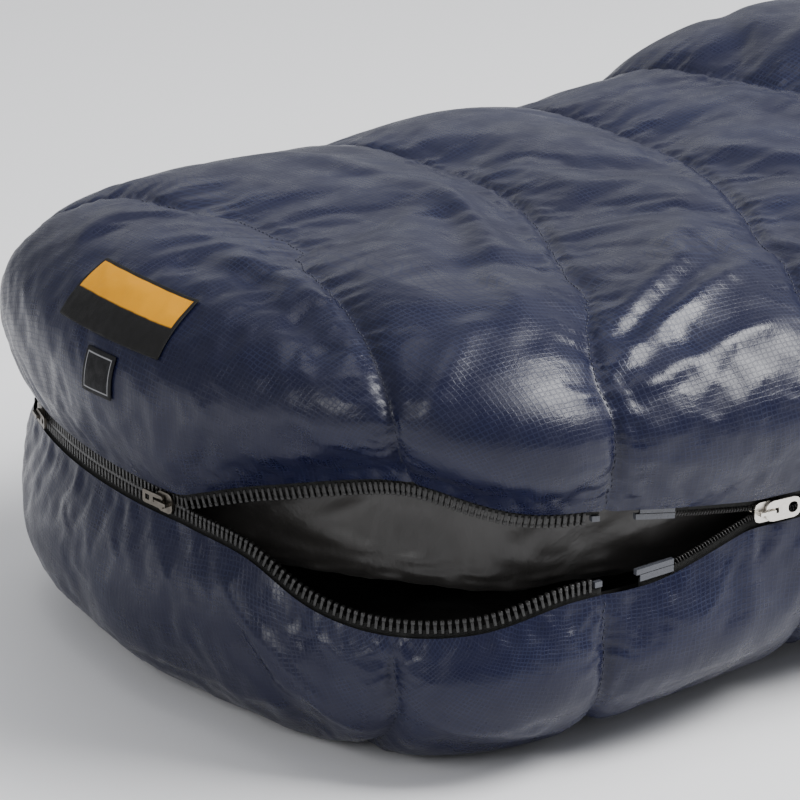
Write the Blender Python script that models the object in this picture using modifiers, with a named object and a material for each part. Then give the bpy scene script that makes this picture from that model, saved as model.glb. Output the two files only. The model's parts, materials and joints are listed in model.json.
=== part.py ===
"""A down sleeping bag that unzips around the near side and the foot and folds open flat as a camp quilt.

Metres, +Z up. The foot end points to -X, the mouth to +X, the zipped near side to -Y and the fold to +Y.
The bag is a lower tray and an upper tray that meet at the zip plane. A position on the edge where they
meet is given by `u`, the length along that edge from the middle of the foot: positive towards the near
side, negative towards the far side. `out` is the distance outwards from the edge and `rise` the
distance from the zip plane, upwards on the top half and downwards on the bottom half.
"""

import math

import bmesh
import bpy
from mathutils import Matrix, Vector

# Overall size
BAG_LENGTH = 2.0
FOOT_WIDTH = 0.349
SHOULDER_WIDTH = 0.755
RIM_HEIGHT = 0.102          # height of the zip plane at the foot
RIM_RISE = 0.0115           # metres that the zip plane rises for each metre of length
FOOT_FACE_RADIUS = 0.36
CORNER_RADIUS = 0.10

# Padded wall
LOFT = 0.045
WALL_DEPTH = 0.040
RIM_DEPTH = 0.008
WALL_GROWTH = 0.060         # rise over which the wall swells from its rim to its full depth
TOP_BULGE = 0.015
BOTTOM_BULGE = 0.006
TOP_ROUNDING = 0.085
FOOT_BASE_ROUNDING = 0.045
SIDE_BASE_ROUNDING = 0.080
INNER_ROUNDING = 0.040
FABRIC = 0.0006
BAFFLE = 0.0004
CLEARANCE = 0.0003

# Sewn seams between chambers, as (near u, middle x, far u)
FOOT_SEAM = (0.1555, 0.090, -0.1555)
BODY_SEAMS = ((0.250, 0.220, -0.320), (0.371, 0.345, -0.450), (0.491, 0.470, -0.570))

# Zips
ROW_THICKNESS = 0.0024
ROW_HEIGHT = 0.0026
ROW_PART = 0.0007           # each row's distance from the zip plane, so that a slider's neck passes
TAPE = 0.0008
TAPE_TOP = 0.014
TAPE_SHOWING = 0.007        # width of tape between the zip plane and the shell's folded edge
FOOT_ZIP = (-0.130, 0.250)
SIDE_ZIP_START = 0.270
FILM_LENGTH = 0.018
FILM = 0.0005
PIN_TIP = 0.002             # length of the pin past the end of its tape
BARE_TAPE = 0.004           # tape past the end of its rows
MOUTH_MARGIN = 0.020        # end of the side zip before the mouth
SIDE_SLIDER_AT = 0.3355
HEAD_SLIDER_FROM_MOUTH = 0.060
FOOT_SLIDER_AT = 0.024
FAR_SLIDER_AT = -0.112

# Where the foot zip is parted: (u, rise, out) of the row, per half
TOP_PARTING = ((0.036, 0, 0), (0.080, 0.013, -0.011), (0.150, 0.025, -0.022), (0.215, 0.014, -0.008),
               (0.250, 0.011, -0.003), (0.285, 0.006, 0), (0.328, 0, 0))
BOTTOM_PARTING = ((0.036, 0, 0), (0.080, 0.003, 0.003), (0.115, 0.017, 0.004), (0.150, 0.024, 0.003),
                  (0.190, 0.023, 0.002), (0.230, 0.015, 0), (0.280, 0.014, 0), (0.328, 0, 0))
PARTING_FADE = 0.085

# Slider
SLIDER_LENGTH = 0.0112
SLIDER_WIDTH = 0.0096
PLATE = 0.0010
PLATE_GAP = 0.0004          # between a plate and the rows
NECK = 0.0008
NECK_LENGTH = 0.0020
NECK_INSET = 0.0006         # from the plate's end
PLATE_CORNER = 0.0026
WELD = 0.0002               # depth that joined shapes share
ARCH_WIDTH = 0.0016
ARCH_BAR = 0.0010
ARCH_REACH = 0.0042         # half the arch's length
PULL_THICKNESS = 0.0012
PULL_PLAY = 0.00035
PULL_WINDOW = 0.0066        # far end of the window that the arch passes through
WINDOW_PLAY = 0.0005
PULL_RIM = 0.0020           # metal past the hole
PULL_CORNER = 0.0012
HOLE_CORNER = 0.0004
ROUND_SHARE = 0.42          # corner radius of a round end, as a share of its width
RING_PULL = (0.0190, 0.0098, (0.0052, 0.0052), True)     # length, width, hole, whether its end is round
TAB_PULL = (0.0145, 0.0062, (0.0030, 0.0026), False)

# Draft tube behind the zips
DRAFT_TUBE_MARGIN = 0.020
DRAFT_TUBE_SPLIT = 0.012

# Label and tag on the foot
LABEL_SIZE = (0.080, 0.030)
LABEL_AT = (-0.008, 0.078)
TAG_SIZE = (0.022, 0.018)
TAG_AT = (-0.016, 0.040)
TRIM_GAP = 0.0009
TRIM_THICKNESS = 0.0009

# How finely the edge is divided: columns around the foot, then steps between the body's seams
FOOT_STEPS = 18
BODY_STEPS = (6, 3, 1)
ROW_FRACTIONS = (0.30, 0.50, 0.70, 0.86, 0.96, 1.0)
INNER_FRACTIONS = (0.36, 0.54, 0.72, 0.88, 0.97, 1.0)
SMOOTH_ANGLE = 0.7

TOP = "top"
BOTTOM = "bottom"
SIDE_SLOPE = math.atan((SHOULDER_WIDTH - FOOT_WIDTH) / 2 / BAG_LENGTH)
CORNER_START = math.asin(
    (FOOT_WIDTH / 2 * math.cos(SIDE_SLOPE) - CORNER_RADIUS + FOOT_FACE_RADIUS * math.sin(SIDE_SLOPE))
    / (FOOT_FACE_RADIUS - CORNER_RADIUS)) - SIDE_SLOPE
CORNER_END = math.pi / 2 - SIDE_SLOPE
CORNER_CENTRE = (FOOT_FACE_RADIUS - (FOOT_FACE_RADIUS - CORNER_RADIUS) * math.cos(CORNER_START),
                 (FOOT_FACE_RADIUS - CORNER_RADIUS) * math.sin(CORNER_START))
FACE_ARC = FOOT_FACE_RADIUS * CORNER_START
SIDE_START = FACE_ARC + CORNER_RADIUS * (CORNER_END - CORNER_START)


def clamp(value):
    return min(1.0, max(0.0, value))


def smooth(value):
    value = clamp(value)
    return value * value * (3 - 2 * value)


def edge(u):
    """Point on the edge and its outward direction, in plan."""
    side = 1 if u >= 0 else -1
    length = abs(u)
    if length <= FACE_ARC:
        angle = length / FOOT_FACE_RADIUS
        x = FOOT_FACE_RADIUS * (1 - math.cos(angle))
        y = FOOT_FACE_RADIUS * math.sin(angle)
    else:
        angle = min(CORNER_START + (length - FACE_ARC) / CORNER_RADIUS, CORNER_END)
        straight = max(0.0, length - SIDE_START)
        x = CORNER_CENTRE[0] - CORNER_RADIUS * math.cos(angle) + straight * math.cos(SIDE_SLOPE)
        y = CORNER_CENTRE[1] + CORNER_RADIUS * math.sin(angle) + straight * math.sin(SIDE_SLOPE)
    return Vector((x, -side * y)), Vector((-math.cos(angle), -side * math.sin(angle)))


def edge_length_at(x):
    """Distance along the straight side at which the edge is x from the foot."""
    corner_x = CORNER_CENTRE[0] - CORNER_RADIUS * math.cos(CORNER_END)
    return SIDE_START + (x - corner_x) / math.cos(SIDE_SLOPE)


def rim_height(x):
    return RIM_HEIGHT + RIM_RISE * x


def zipped(u):
    """1 where the edge carries a zip, 0 along the fold, and between them at the far corner."""
    return smooth((u + SIDE_START) / (SIDE_START + FOOT_ZIP[0]))


def parting(half, u):
    """How far the parted zip's row lies from the zip plane and from the edge."""
    knots = TOP_PARTING if half == TOP else BOTTOM_PARTING
    if u <= knots[0][0] or u >= knots[-1][0]:
        return 0.0, 0.0
    index = max(i for i, knot in enumerate(knots) if knot[0] <= u)
    before, start, end, after = (Vector(knots[min(max(i, 0), len(knots) - 1)])
                                 for i in range(index - 1, index + 3))
    share = (u - start.x) / (end.x - start.x)
    span = end.x - start.x
    slope_in = (end - before) * span / max(end.x - before.x, 1e-6)
    slope_out = (after - start) * span / max(after.x - start.x, 1e-6)
    value = (start * (1 + 2 * share) * (1 - share) ** 2 + slope_in * share * (1 - share) ** 2
             + end * share ** 2 * (3 - 2 * share) - slope_out * share ** 2 * (1 - share))
    return value.y, value.z


def row_follow(level):
    """Share of the zip's parting that a wall takes at a level: all of it up to the top of the tape."""
    return (1 - clamp((level - TAPE_TOP) / PARTING_FADE)) ** 2


def place_at_station(half, u, out, rise, follow):
    point, outward = edge(u)
    part_rise, part_out = parting(half, u)
    flat = point + outward * (out + part_out * follow)
    height = rise + part_rise * follow
    sign = 1 if half == TOP else -1
    return Vector((flat.x, flat.y, rim_height(point.x) + sign * height))


def between(first, second, share):
    return tuple(a + (b - a) * share for a, b in zip(first, second))


def edge_stations():
    """Every place along the edge where its outline has a corner."""
    near, far = [], []
    seams = (FOOT_SEAM, *BODY_SEAMS)
    for start, end, count in zip(seams, seams[1:], BODY_STEPS):
        for step in range(1, count + 1):
            station = between(start, end, step / count)
            near.append(station[0])
            far.append(station[2])
    mouth = edge_length_at(BAG_LENGTH)
    return sorted([*far, *foot_columns(), *near, mouth, -mouth])


def foot_columns():
    width = FOOT_SEAM[0] - FOOT_SEAM[2]
    return [FOOT_SEAM[0] - width * index / FOOT_STEPS for index in range(FOOT_STEPS + 1)]


def bracket(u):
    """The stations on each side of u, and how far u lies between them."""
    index = next((i for i in range(1, len(STATIONS) - 1) if STATIONS[i] >= u - 1e-9), len(STATIONS) - 1)
    low, high = STATIONS[index - 1], STATIONS[index]
    return low, high, (u - low) / (high - low)


def place(half, u, out, rise, follow):
    """World point at a place on the wall. `follow` is its share of the zip's parting."""
    low, high, share = bracket(u)
    first = place_at_station(half, low, out, rise, follow)
    return first.lerp(place_at_station(half, high, out, rise, follow), share)


def rim_start(u):
    """Height at which a wall's fabric starts: above the zip's tape, or just off the fold."""
    fold = 4 * CLEARANCE
    return fold + (TAPE_SHOWING - fold) * zipped(u)


def base_rounding(half, u):
    if half == TOP:
        return TOP_ROUNDING
    return FOOT_BASE_ROUNDING + (SIDE_BASE_ROUNDING - FOOT_BASE_ROUNDING) * smooth(abs(u) / SIDE_START - 0.4)


def shell_profile(half, u):
    """(out, rise, level) of the shell's outer face, from the rim to the edge of its flat.

    Layers with the same level move together where the zip is parted.
    """
    height = rim_height(edge(u)[0].x)
    bulge = (TOP_BULGE if half == TOP else BOTTOM_BULGE) * zipped(u)
    rounding = base_rounding(half, u)
    rises = [rim_start(u), TAPE_TOP + 2 * CLEARANCE]
    rises += [height * fraction for fraction in ROW_FRACTIONS]
    profile = []
    for rise in rises:
        share = rise / height
        puff = bulge * (1 - (1 - 2 * min(share, 0.5)) ** 2)
        turn = rounding * (1 - math.sqrt(1 - clamp(2 * share - 1) ** 2))
        profile.append((puff - turn - 2 * CLEARANCE * (1 - zipped(u)), rise, rise))
    lap = TAPE / 2 + CLEARANCE + FABRIC
    profile[0] = (lap * zipped(u) - 2 * CLEARANCE * (1 - zipped(u)), rises[0], rises[0])
    return profile


def inner_profile(half, u):
    """(out, rise, level) of the fill's inner face, from the rim to the edge of the ceiling or floor."""
    height = rim_height(edge(u)[0].x) - LOFT
    rises = [rim_start(u), TAPE_TOP + 2 * CLEARANCE]
    rises += [height * fraction for fraction in INNER_FRACTIONS]
    profile = []
    for rise in rises:
        share = rise / height
        depth = RIM_DEPTH + (WALL_DEPTH - RIM_DEPTH) * smooth((rise - TAPE_TOP) / WALL_GROWTH)
        turn = INNER_ROUNDING * (1 - math.sqrt(1 - clamp(2 * share - 1) ** 2))
        profile.append((-depth - turn, rise, rise))
    return profile


def moved(profile, distance):
    """The profile moved sideways by a distance, to the left of its direction."""
    result = []
    for index, (out, rise, level) in enumerate(profile):
        before = profile[max(index - 1, 0)]
        after = profile[min(index + 1, len(profile) - 1)]
        along = Vector((after[0] - before[0], after[1] - before[1])).normalized()
        if index == len(profile) - 1:
            along = Vector((-1.0, 0.0))
        result.append((out - along.y * distance, rise + along.x * distance, level))
    return result


def fill_profile(half, u):
    """Outer face of the fill: inside the shell, and behind the zip's tape."""
    profile = moved(shell_profile(half, u), FABRIC + CLEARANCE)
    behind_tape = -TAPE / 2 - CLEARANCE - CLEARANCE * 2 * (1 - zipped(u))
    for index in (0, 1):
        out, _, level = profile[index]
        profile[index] = (min(out, behind_tape), level, level)
    return profile


def liner_profile(half, u):
    """Lining: under the rim from the tape inwards, and then over the fill."""
    inner = moved(inner_profile(half, u), CLEARANCE)
    start = rim_start(u) - CLEARANCE
    inner[0] = (inner[0][0], start, start)
    return [(-TAPE / 2 - CLEARANCE, start, start)] + inner


def column_at_station(half, u, profile, middle_inset):
    points = [place_at_station(half, u, out, rise, row_follow(level))
              for out, rise, level in profile(half, u)]
    height = rim_height(edge(u)[0].x)
    points[-1].z = height + (1 if half == TOP else -1) * (height - middle_inset)
    return points


def column(half, u, middle_x, profile, middle_inset):
    """One column of points, from the rim to the bag's centre line."""
    low, high, share = bracket(u)
    first = column_at_station(half, low, profile, middle_inset)
    second = column_at_station(half, high, profile, middle_inset)
    points = [a.lerp(b, share) for a, b in zip(first, second)]
    height = rim_height(middle_x)
    points.append(Vector((middle_x, 0.0, height + (1 if half == TOP else -1) * (height - middle_inset))))
    return points


def mouth_station(back):
    """The station at the mouth, `back` from its end."""
    u = edge_length_at(BAG_LENGTH - back)
    return (u, BAG_LENGTH - back, -u)


def new_mesh_object(name, mesh, material, parent):
    built = bpy.data.objects.new(name, mesh)
    parts.objects.link(built)
    mesh.materials.append(material)
    built.parent = parent
    built.matrix_parent_inverse = Matrix.Translation(-world_origin(parent))
    return built


def finish_bmesh(shape, name):
    bmesh.ops.remove_doubles(shape, verts=shape.verts, dist=0.00002)
    bmesh.ops.dissolve_degenerate(shape, edges=shape.edges, dist=0.00001)
    bmesh.ops.recalc_face_normals(shape, faces=shape.faces)
    mesh = bpy.data.meshes.new(name)
    shape.to_mesh(mesh)
    shape.free()
    mesh.shade_smooth()
    mesh.set_sharp_from_angle(angle=SMOOTH_ANGLE)
    return mesh


def add_quad(shape, foot_low, head_low, head_high, foot_high):
    """Two triangles, always split the same way, so that layers on each other stay parallel."""
    shape.faces.new((foot_low, head_low, head_high))
    shape.faces.new((foot_low, head_high, foot_high))


def sheet(name, half, profile, middle_inset, material, parent):
    """A fabric tray: one column per station, with a fan around the foot, thickened inwards."""
    stations = [mouth_station(0.0)]
    seams = (FOOT_SEAM, *BODY_SEAMS)
    for start, end, count in reversed(list(zip(seams, seams[1:], BODY_STEPS))):
        stations += [between(end, start, step / count) for step in range(count)]
    near = [(station[0], station[1]) for station in stations]
    foot = [(u, FOOT_SEAM[1]) for u in foot_columns()]
    far = [(station[2], station[1]) for station in reversed(stations)]
    shape = bmesh.new()
    columns = [[shape.verts.new(point) for point in column(half, u, x, profile, middle_inset)]
               for u, x in near + foot + far]
    for index, (left, right) in enumerate(zip(columns, columns[1:])):
        head, toe = (left, right) if index < len(near) else (right, left)
        for row in range(len(left) - 1):
            add_quad(shape, toe[row], head[row], head[row + 1], toe[row + 1])
    mesh = finish_bmesh(shape, name)
    built = new_mesh_object(name, mesh, material, parent)
    thickness = built.modifiers.new("thickness", "SOLIDIFY")
    thickness.thickness = FABRIC
    thickness.offset = -1.0 if faces_away(mesh, half) else 1.0
    thickness.use_even_offset = True


def faces_away(mesh, half):
    """Whether the sheet's faces point away from the inside of the bag."""
    flat = max(mesh.polygons, key=lambda face: face.area)
    return (flat.normal.z > 0) == (half == TOP)


def section(half, station):
    """A closed section of padded wall across the bag, from the near rim over the middle to the far rim."""
    near, middle_x, far = station
    outer_inset = FABRIC + CLEARANCE
    inner_inset = LOFT
    outer = column(half, near, middle_x, fill_profile, outer_inset)
    outer += reversed(column(half, far, middle_x, fill_profile, outer_inset)[:-1])
    inner = column(half, near, middle_x, inner_profile, inner_inset)
    inner += reversed(column(half, far, middle_x, inner_profile, inner_inset)[:-1])
    return outer, inner


def add_band(shape, ring, next_ring, middle):
    """Faces between two sections; rows count up to `middle` and down after it."""
    for line, next_line in zip(ring, next_ring):
        for index in range(len(line) - 1):
            low, high = (index, index + 1) if index < middle else (index + 1, index)
            add_quad(shape, line[low], next_line[low], next_line[high], line[high])


def add_end(shape, ring):
    outer, inner = ring
    for index in range(len(outer) - 1):
        shape.faces.new((outer[index], inner[index], inner[index + 1], outer[index + 1]))


def loft(name, sections, material, parent, middle=None, fan=False):
    """A solid through sections that are each an outer and an inner line of points."""
    shape = bmesh.new()
    rings = [[[shape.verts.new(point) for point in line] for line in pair] for pair in sections]
    middle = len(rings[0][0]) if middle is None else middle
    for ring, next_ring in zip(rings, rings[1:]):
        add_band(shape, ring, next_ring, middle)
        for end in (0,) if fan else (0, -1):
            shape.faces.new((ring[0][end], next_ring[0][end], next_ring[1][end], ring[1][end]))
    for ring in (rings[0], rings[-1]):
        add_end(shape, ring)
    new_mesh_object(name, finish_bmesh(shape, name), material, parent)


def stepped(station, towards, distance):
    """The station moved by a small distance towards another one."""
    span = abs(towards[1] - station[1])
    return between(station, towards, distance / span)


def chamber(name, half, start, end, steps, gap_start, gap_end, material, parent):
    inner = [between(start, end, index / steps) for index in range(1, steps)]
    stations = [stepped(start, end, gap_start), *inner, stepped(end, start, gap_end)]
    sections = [section(half, station) for station in stations]
    loft(name, sections, material, parent, len(sections[0][0]) // 2)


def baffle(name, half, seam, towards, material, parent):
    start = stepped(seam, towards, -BAFFLE / 2)
    end = stepped(seam, towards, BAFFLE / 2)
    sections = [section(half, start), section(half, end)]
    loft(name, sections, material, parent, len(sections[0][0]) // 2)


def foot_fill(name, half, material, parent):
    """The foot chamber: a fan of columns around the point where the foot seam crosses the middle."""
    inset = FABRIC + CLEARANCE
    gap = BAFFLE / 2 + CLEARANCE
    columns = foot_columns()
    columns[0] -= gap
    columns[-1] += gap
    sections = []
    for u in columns:
        outer = column(half, u, FOOT_SEAM[1] - gap, fill_profile, inset)
        inner = column(half, u, FOOT_SEAM[1] - gap, inner_profile, LOFT)
        sections.append((outer, inner))
    loft(name, sections, material, parent, fan=True)


def strip_stations(start, end):
    """The ends of a strip along the edge, and the edge's corners between them."""
    return [start, *(u for u in STATIONS if start + CLEARANCE < u < end - CLEARANCE), end]


def strip(name, half, start, end, outs, rises, material, parent, follow=1.0):
    """A bar of rectangular section that runs along the edge."""
    sections = []
    for u in strip_stations(start, end):
        outer = [place(half, u, outs[1], rise, follow) for rise in rises]
        inner = [place(half, u, outs[0], rise, follow) for rise in rises]
        sections.append((outer, inner))
    loft(name, sections, material, parent)


def draft_tube(name, start, end, material, parent):
    """A padded roll under the top half's rim, behind the zip."""
    top_gap = TAPE_SHOWING - CLEARANCE - FABRIC - CLEARANCE
    outer_line = ((-0.0070, top_gap, 1.0), (-0.0120, -0.0060, 0.8), (-0.0175, -0.0220, 0.35),
                  (-0.0205, -0.0270, 0.3))
    inner_line = ((-0.0140, top_gap, 1.0), (-0.0265, 0.0000, 0.9), (-0.0300, -0.0110, 0.6),
                  (-0.0270, -0.0230, 0.35))
    sections = []
    for u in strip_stations(start, end):
        outer = [place(TOP, u, out, rise, follow) for out, rise, follow in outer_line]
        inner = [place(TOP, u, out, rise, follow) for out, rise, follow in inner_line]
        sections.append((outer, inner))
    loft(name, sections, material, parent)


def patch(name, centre, size, columns, rows, material, parent):
    """A thin rectangle sewn on the top shell: centre is (u, height above the zip plane)."""
    shape = bmesh.new()
    grid = []
    for row in range(rows + 1):
        line = []
        for step in range(columns + 1):
            u = centre[0] + size[0] * (step / columns - 0.5)
            point, normal = shell_point(u, centre[1], size[1] * (row / rows - 0.5))
            line.append(shape.verts.new(point + normal * TRIM_GAP))
        grid.append(line)
    for low, high in zip(grid, grid[1:]):
        for step in range(columns):
            shape.faces.new((low[step], high[step], high[step + 1], low[step + 1]))
    bmesh.ops.recalc_face_normals(shape, faces=shape.faces)
    shape.faces.ensure_lookup_table()
    if shape.faces[0].normal.x > 0:
        bmesh.ops.reverse_faces(shape, faces=shape.faces)
    mesh = bpy.data.meshes.new(name)
    shape.to_mesh(mesh)
    shape.free()
    built = new_mesh_object(name, mesh, material, parent)
    thickness = built.modifiers.new("thickness", "SOLIDIFY")
    thickness.thickness = TRIM_THICKNESS
    thickness.offset = 1.0


def shell_point(u, rise, along):
    """Point and normal on the top shell, `along` further up the wall than `rise`."""
    profile = shell_profile(TOP, u)
    heights = [0.0]
    for before, after in zip(profile, profile[1:]):
        heights.append(heights[-1] + math.dist(before[:2], after[:2]))
    start = next(i for i in range(len(profile) - 1) if profile[i + 1][1] >= rise)
    share = (rise - profile[start][1]) / (profile[start + 1][1] - profile[start][1])
    target = heights[start] + share * (heights[start + 1] - heights[start]) + along
    index = next((i for i in range(len(heights) - 1) if heights[i + 1] >= target), len(heights) - 2)
    share = (target - heights[index]) / (heights[index + 1] - heights[index])
    low, high = profile[index], profile[index + 1]
    out = low[0] + (high[0] - low[0]) * share
    height = low[1] + (high[1] - low[1]) * share
    outward = edge(u)[1]
    slope = Vector((high[1] - low[1], low[0] - high[0])).normalized()
    normal = Vector((outward.x * slope.x, outward.y * slope.x, slope.y))
    return place(TOP, u, out, height, row_follow(height)), normal.normalized()


def zip_frame(u):
    """Matrix with X along the zip, Y outwards and Z across the zip, at the zip plane."""
    point, outward = edge(u)
    along = Vector((-outward.y, outward.x, 0.0))
    if u >= 0 and along.x < 0 or abs(u) <= FACE_ARC and along.y > 0:
        along = -along
    along.z = RIM_RISE * along.x
    along.normalize()
    out = Vector((outward.x, outward.y, 0.0))
    across = along.cross(out)
    if across.z < 0:
        across = -across
    frame = Matrix((along, out, across)).transposed().to_4x4()
    frame.translation = at_rim_height(point)
    return frame


def box(name, low, high, bevel=0.0, segments=2):
    """A box between two corners, with rounded edges, as a mesh."""
    shape = bmesh.new()
    bmesh.ops.create_cube(shape, size=1.0)
    size = [b - a for a, b in zip(low, high)]
    centre = [(a + b) / 2 for a, b in zip(low, high)]
    bmesh.ops.scale(shape, vec=size, verts=shape.verts)
    bmesh.ops.translate(shape, vec=centre, verts=shape.verts)
    if bevel:
        upright = [e for e in shape.edges if abs((e.verts[0].co - e.verts[1].co).y) > 1e-7]
        bmesh.ops.bevel(shape, geom=upright, offset=bevel, segments=segments, affect="EDGES", profile=0.5)
    mesh = bpy.data.meshes.new(name)
    shape.to_mesh(mesh)
    shape.free()
    return mesh


def tool(name, mesh, frame, parent):
    """A helper solid that a Boolean uses."""
    helper = bpy.data.objects.new(name, mesh)
    cutters.objects.link(helper)
    helper.parent = parent
    helper.matrix_parent_inverse = Matrix.Translation(-world_origin(parent))
    helper.matrix_basis = frame
    helper.hide_render = True
    helper.display_type = "WIRE"
    return helper


def boolean(target, helper, operation):
    modifier = target.modifiers.new(f"{operation.lower()} {helper.name}", "BOOLEAN")
    modifier.operation = operation
    modifier.object = helper
    modifier.solver = "EXACT"


def slider(name, frame, neck_side, material, parent):
    """Two plates over the rows, a neck between them at the parted end, and an arch for the pull."""
    face = ROW_THICKNESS / 2 + PLATE_GAP
    back = face + PLATE
    half_length = SLIDER_LENGTH / 2
    half_width = SLIDER_WIDTH / 2
    arch_top = back + PULL_PLAY * 2 + PULL_THICKNESS
    plate = box(name, (-half_length, face, -half_width), (half_length, back, half_width), PLATE_CORNER)
    built = new_mesh_object(name, plate, material, parent)
    built.matrix_basis = frame
    rear = box(name + "_rear", (-half_length, -back, -half_width), (half_length, -face, half_width),
               PLATE_CORNER)
    boolean(built, tool(name + "_rear_plate", rear, frame, parent), "UNION")
    neck_x = neck_side * (half_length - NECK_LENGTH / 2 - NECK_INSET)
    neck = box(name + "_neck", (neck_x - NECK_LENGTH / 2, -face - WELD, -NECK / 2),
               (neck_x + NECK_LENGTH / 2, face + WELD, NECK / 2))
    boolean(built, tool(name + "_neck_post", neck, frame, parent), "UNION")
    arch = box(name + "_arch", (-ARCH_REACH, back - WELD, -ARCH_WIDTH / 2),
               (ARCH_REACH, arch_top + ARCH_BAR, ARCH_WIDTH / 2))
    boolean(built, tool(name + "_arch_block", arch, frame, parent), "UNION")
    room = box(name + "_room", (-ARCH_REACH + ARCH_BAR, back, -ARCH_WIDTH),
               (ARCH_REACH - ARCH_BAR, arch_top, ARCH_WIDTH))
    boolean(built, tool(name + "_arch_room", room, frame, parent), "DIFFERENCE")


def pull(name, frame, length, width, hole_size, round_end, material, parent):
    """A pull whose window holds the slider's arch; its bar turns about the frame's Z axis."""
    half = PULL_THICKNESS / 2
    corner = width * ROUND_SHARE if round_end else PULL_CORNER
    hole_corner = min(hole_size) * ROUND_SHARE if round_end else HOLE_CORNER
    tag = box(name, (-half, -half, -width / 2), (length, half, width / 2), corner, 3)
    built = new_mesh_object(name, tag, material, parent)
    built.matrix_basis = frame
    window_half = ARCH_WIDTH / 2 + WINDOW_PLAY
    window = box(name + "_window_cut", (half, -2 * half, -window_half), (PULL_WINDOW, 2 * half, window_half))
    boolean(built, tool(name + "_window", window, frame, parent), "DIFFERENCE")
    hole_end = length - PULL_RIM
    hole = box(name + "_hole_cut", (hole_end - hole_size[0], -2 * half, -hole_size[1] / 2),
               (hole_end, 2 * half, hole_size[1] / 2), hole_corner, 3)
    boolean(built, tool(name + "_hole", hole, frame, parent), "DIFFERENCE")


def pull_frame(slider_frame, points_to):
    """Frame of a pull that lies along the zip, towards +u or -u."""
    pivot = ROW_THICKNESS / 2 + PLATE_GAP + PLATE + PULL_PLAY + PULL_THICKNESS / 2
    turned = slider_frame @ Matrix.Translation((0.0, pivot, 0.0))
    if points_to < 0:
        turned = turned @ Matrix.Rotation(math.pi, 4, "Y")
    return turned


def zip_set(label, u, neck_side, pull_size, metal, parent):
    """A slider whose neck is at its parted end, and a pull that lies over the closed chain."""
    frame = zip_frame(u)
    slider(f"{label}_slider", frame, neck_side, metal, parent)
    pull(f"{label}_pull", pull_frame(frame, -neck_side), *pull_size, metal, parent)


def at_rim_height(point):
    return Vector((point[0], point[1], rim_height(point[0])))


def empty(name, parent, position):
    made = bpy.data.objects.new(name, None)
    parts.objects.link(made)
    made.parent = parent
    made.location = position - (world_origin(parent) if parent else Vector((0.0, 0.0, 0.0)))
    return made


def world_origin(obj):
    origin = obj.location.copy()
    while obj.parent:
        obj = obj.parent
        origin += obj.location
    return origin


def stand_on_ground():
    """Moves the whole quilt so that its box is centred on the origin and stands on z = 0."""
    bpy.context.view_layer.update()
    graph = bpy.context.evaluated_depsgraph_get()
    corners = []
    for obj in parts.objects:
        if obj.type == "MESH":
            seen = obj.evaluated_get(graph)
            corners += [seen.matrix_world @ Vector(corner) for corner in seen.bound_box]
    low = [min(corner[axis] for corner in corners) for axis in range(3)]
    high = [max(corner[axis] for corner in corners) for axis in range(3)]
    quilt.location = (-(low[0] + high[0]) / 2, -(low[1] + high[1]) / 2, -low[2])


def material(name, colour, roughness, metallic=0.0):
    made = bpy.data.materials.new(name)
    made.use_nodes = True
    shader = made.node_tree.nodes["Principled BSDF"]
    shader.inputs["Base Color"].default_value = (*colour, 1.0)
    shader.inputs["Roughness"].default_value = roughness
    shader.inputs["Metallic"].default_value = metallic
    return made


def build_half(half, parent):
    """Shell, lining, down chambers and the netting walls between them."""
    sheet(f"{half}_shell", half, shell_profile, 0.0, ripstop, parent)
    sheet(f"{half}_liner", half, liner_profile, LOFT + CLEARANCE, lining, parent)
    gap = BAFFLE / 2 + CLEARANCE
    foot_fill(f"{half}_foot_fill", half, down, parent)
    names = ("shin", "calf", "knee")
    seams = (FOOT_SEAM, *BODY_SEAMS)
    for name, start, end, count in zip(names, seams, seams[1:], BODY_STEPS):
        chamber(f"{half}_{name}_fill", half, start, end, count, gap, gap, down, parent)
    mouth = mouth_station(0.0)
    chamber(f"{half}_body_fill", half, seams[-1], mouth, 1, gap, BAFFLE + 2 * CLEARANCE, down, parent)
    beyond = (*BODY_SEAMS, mouth)
    for name, seam, towards in zip(("ankle", "calf", "knee", "thigh"), seams, beyond):
        baffle(f"{half}_{name}_baffle", half, seam, towards, netting, parent)
    panel = stepped(mouth, seams[-1], BAFFLE / 2 + CLEARANCE)
    baffle(f"{half}_mouth_panel", half, panel, seams[-1], ripstop, parent)


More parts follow.
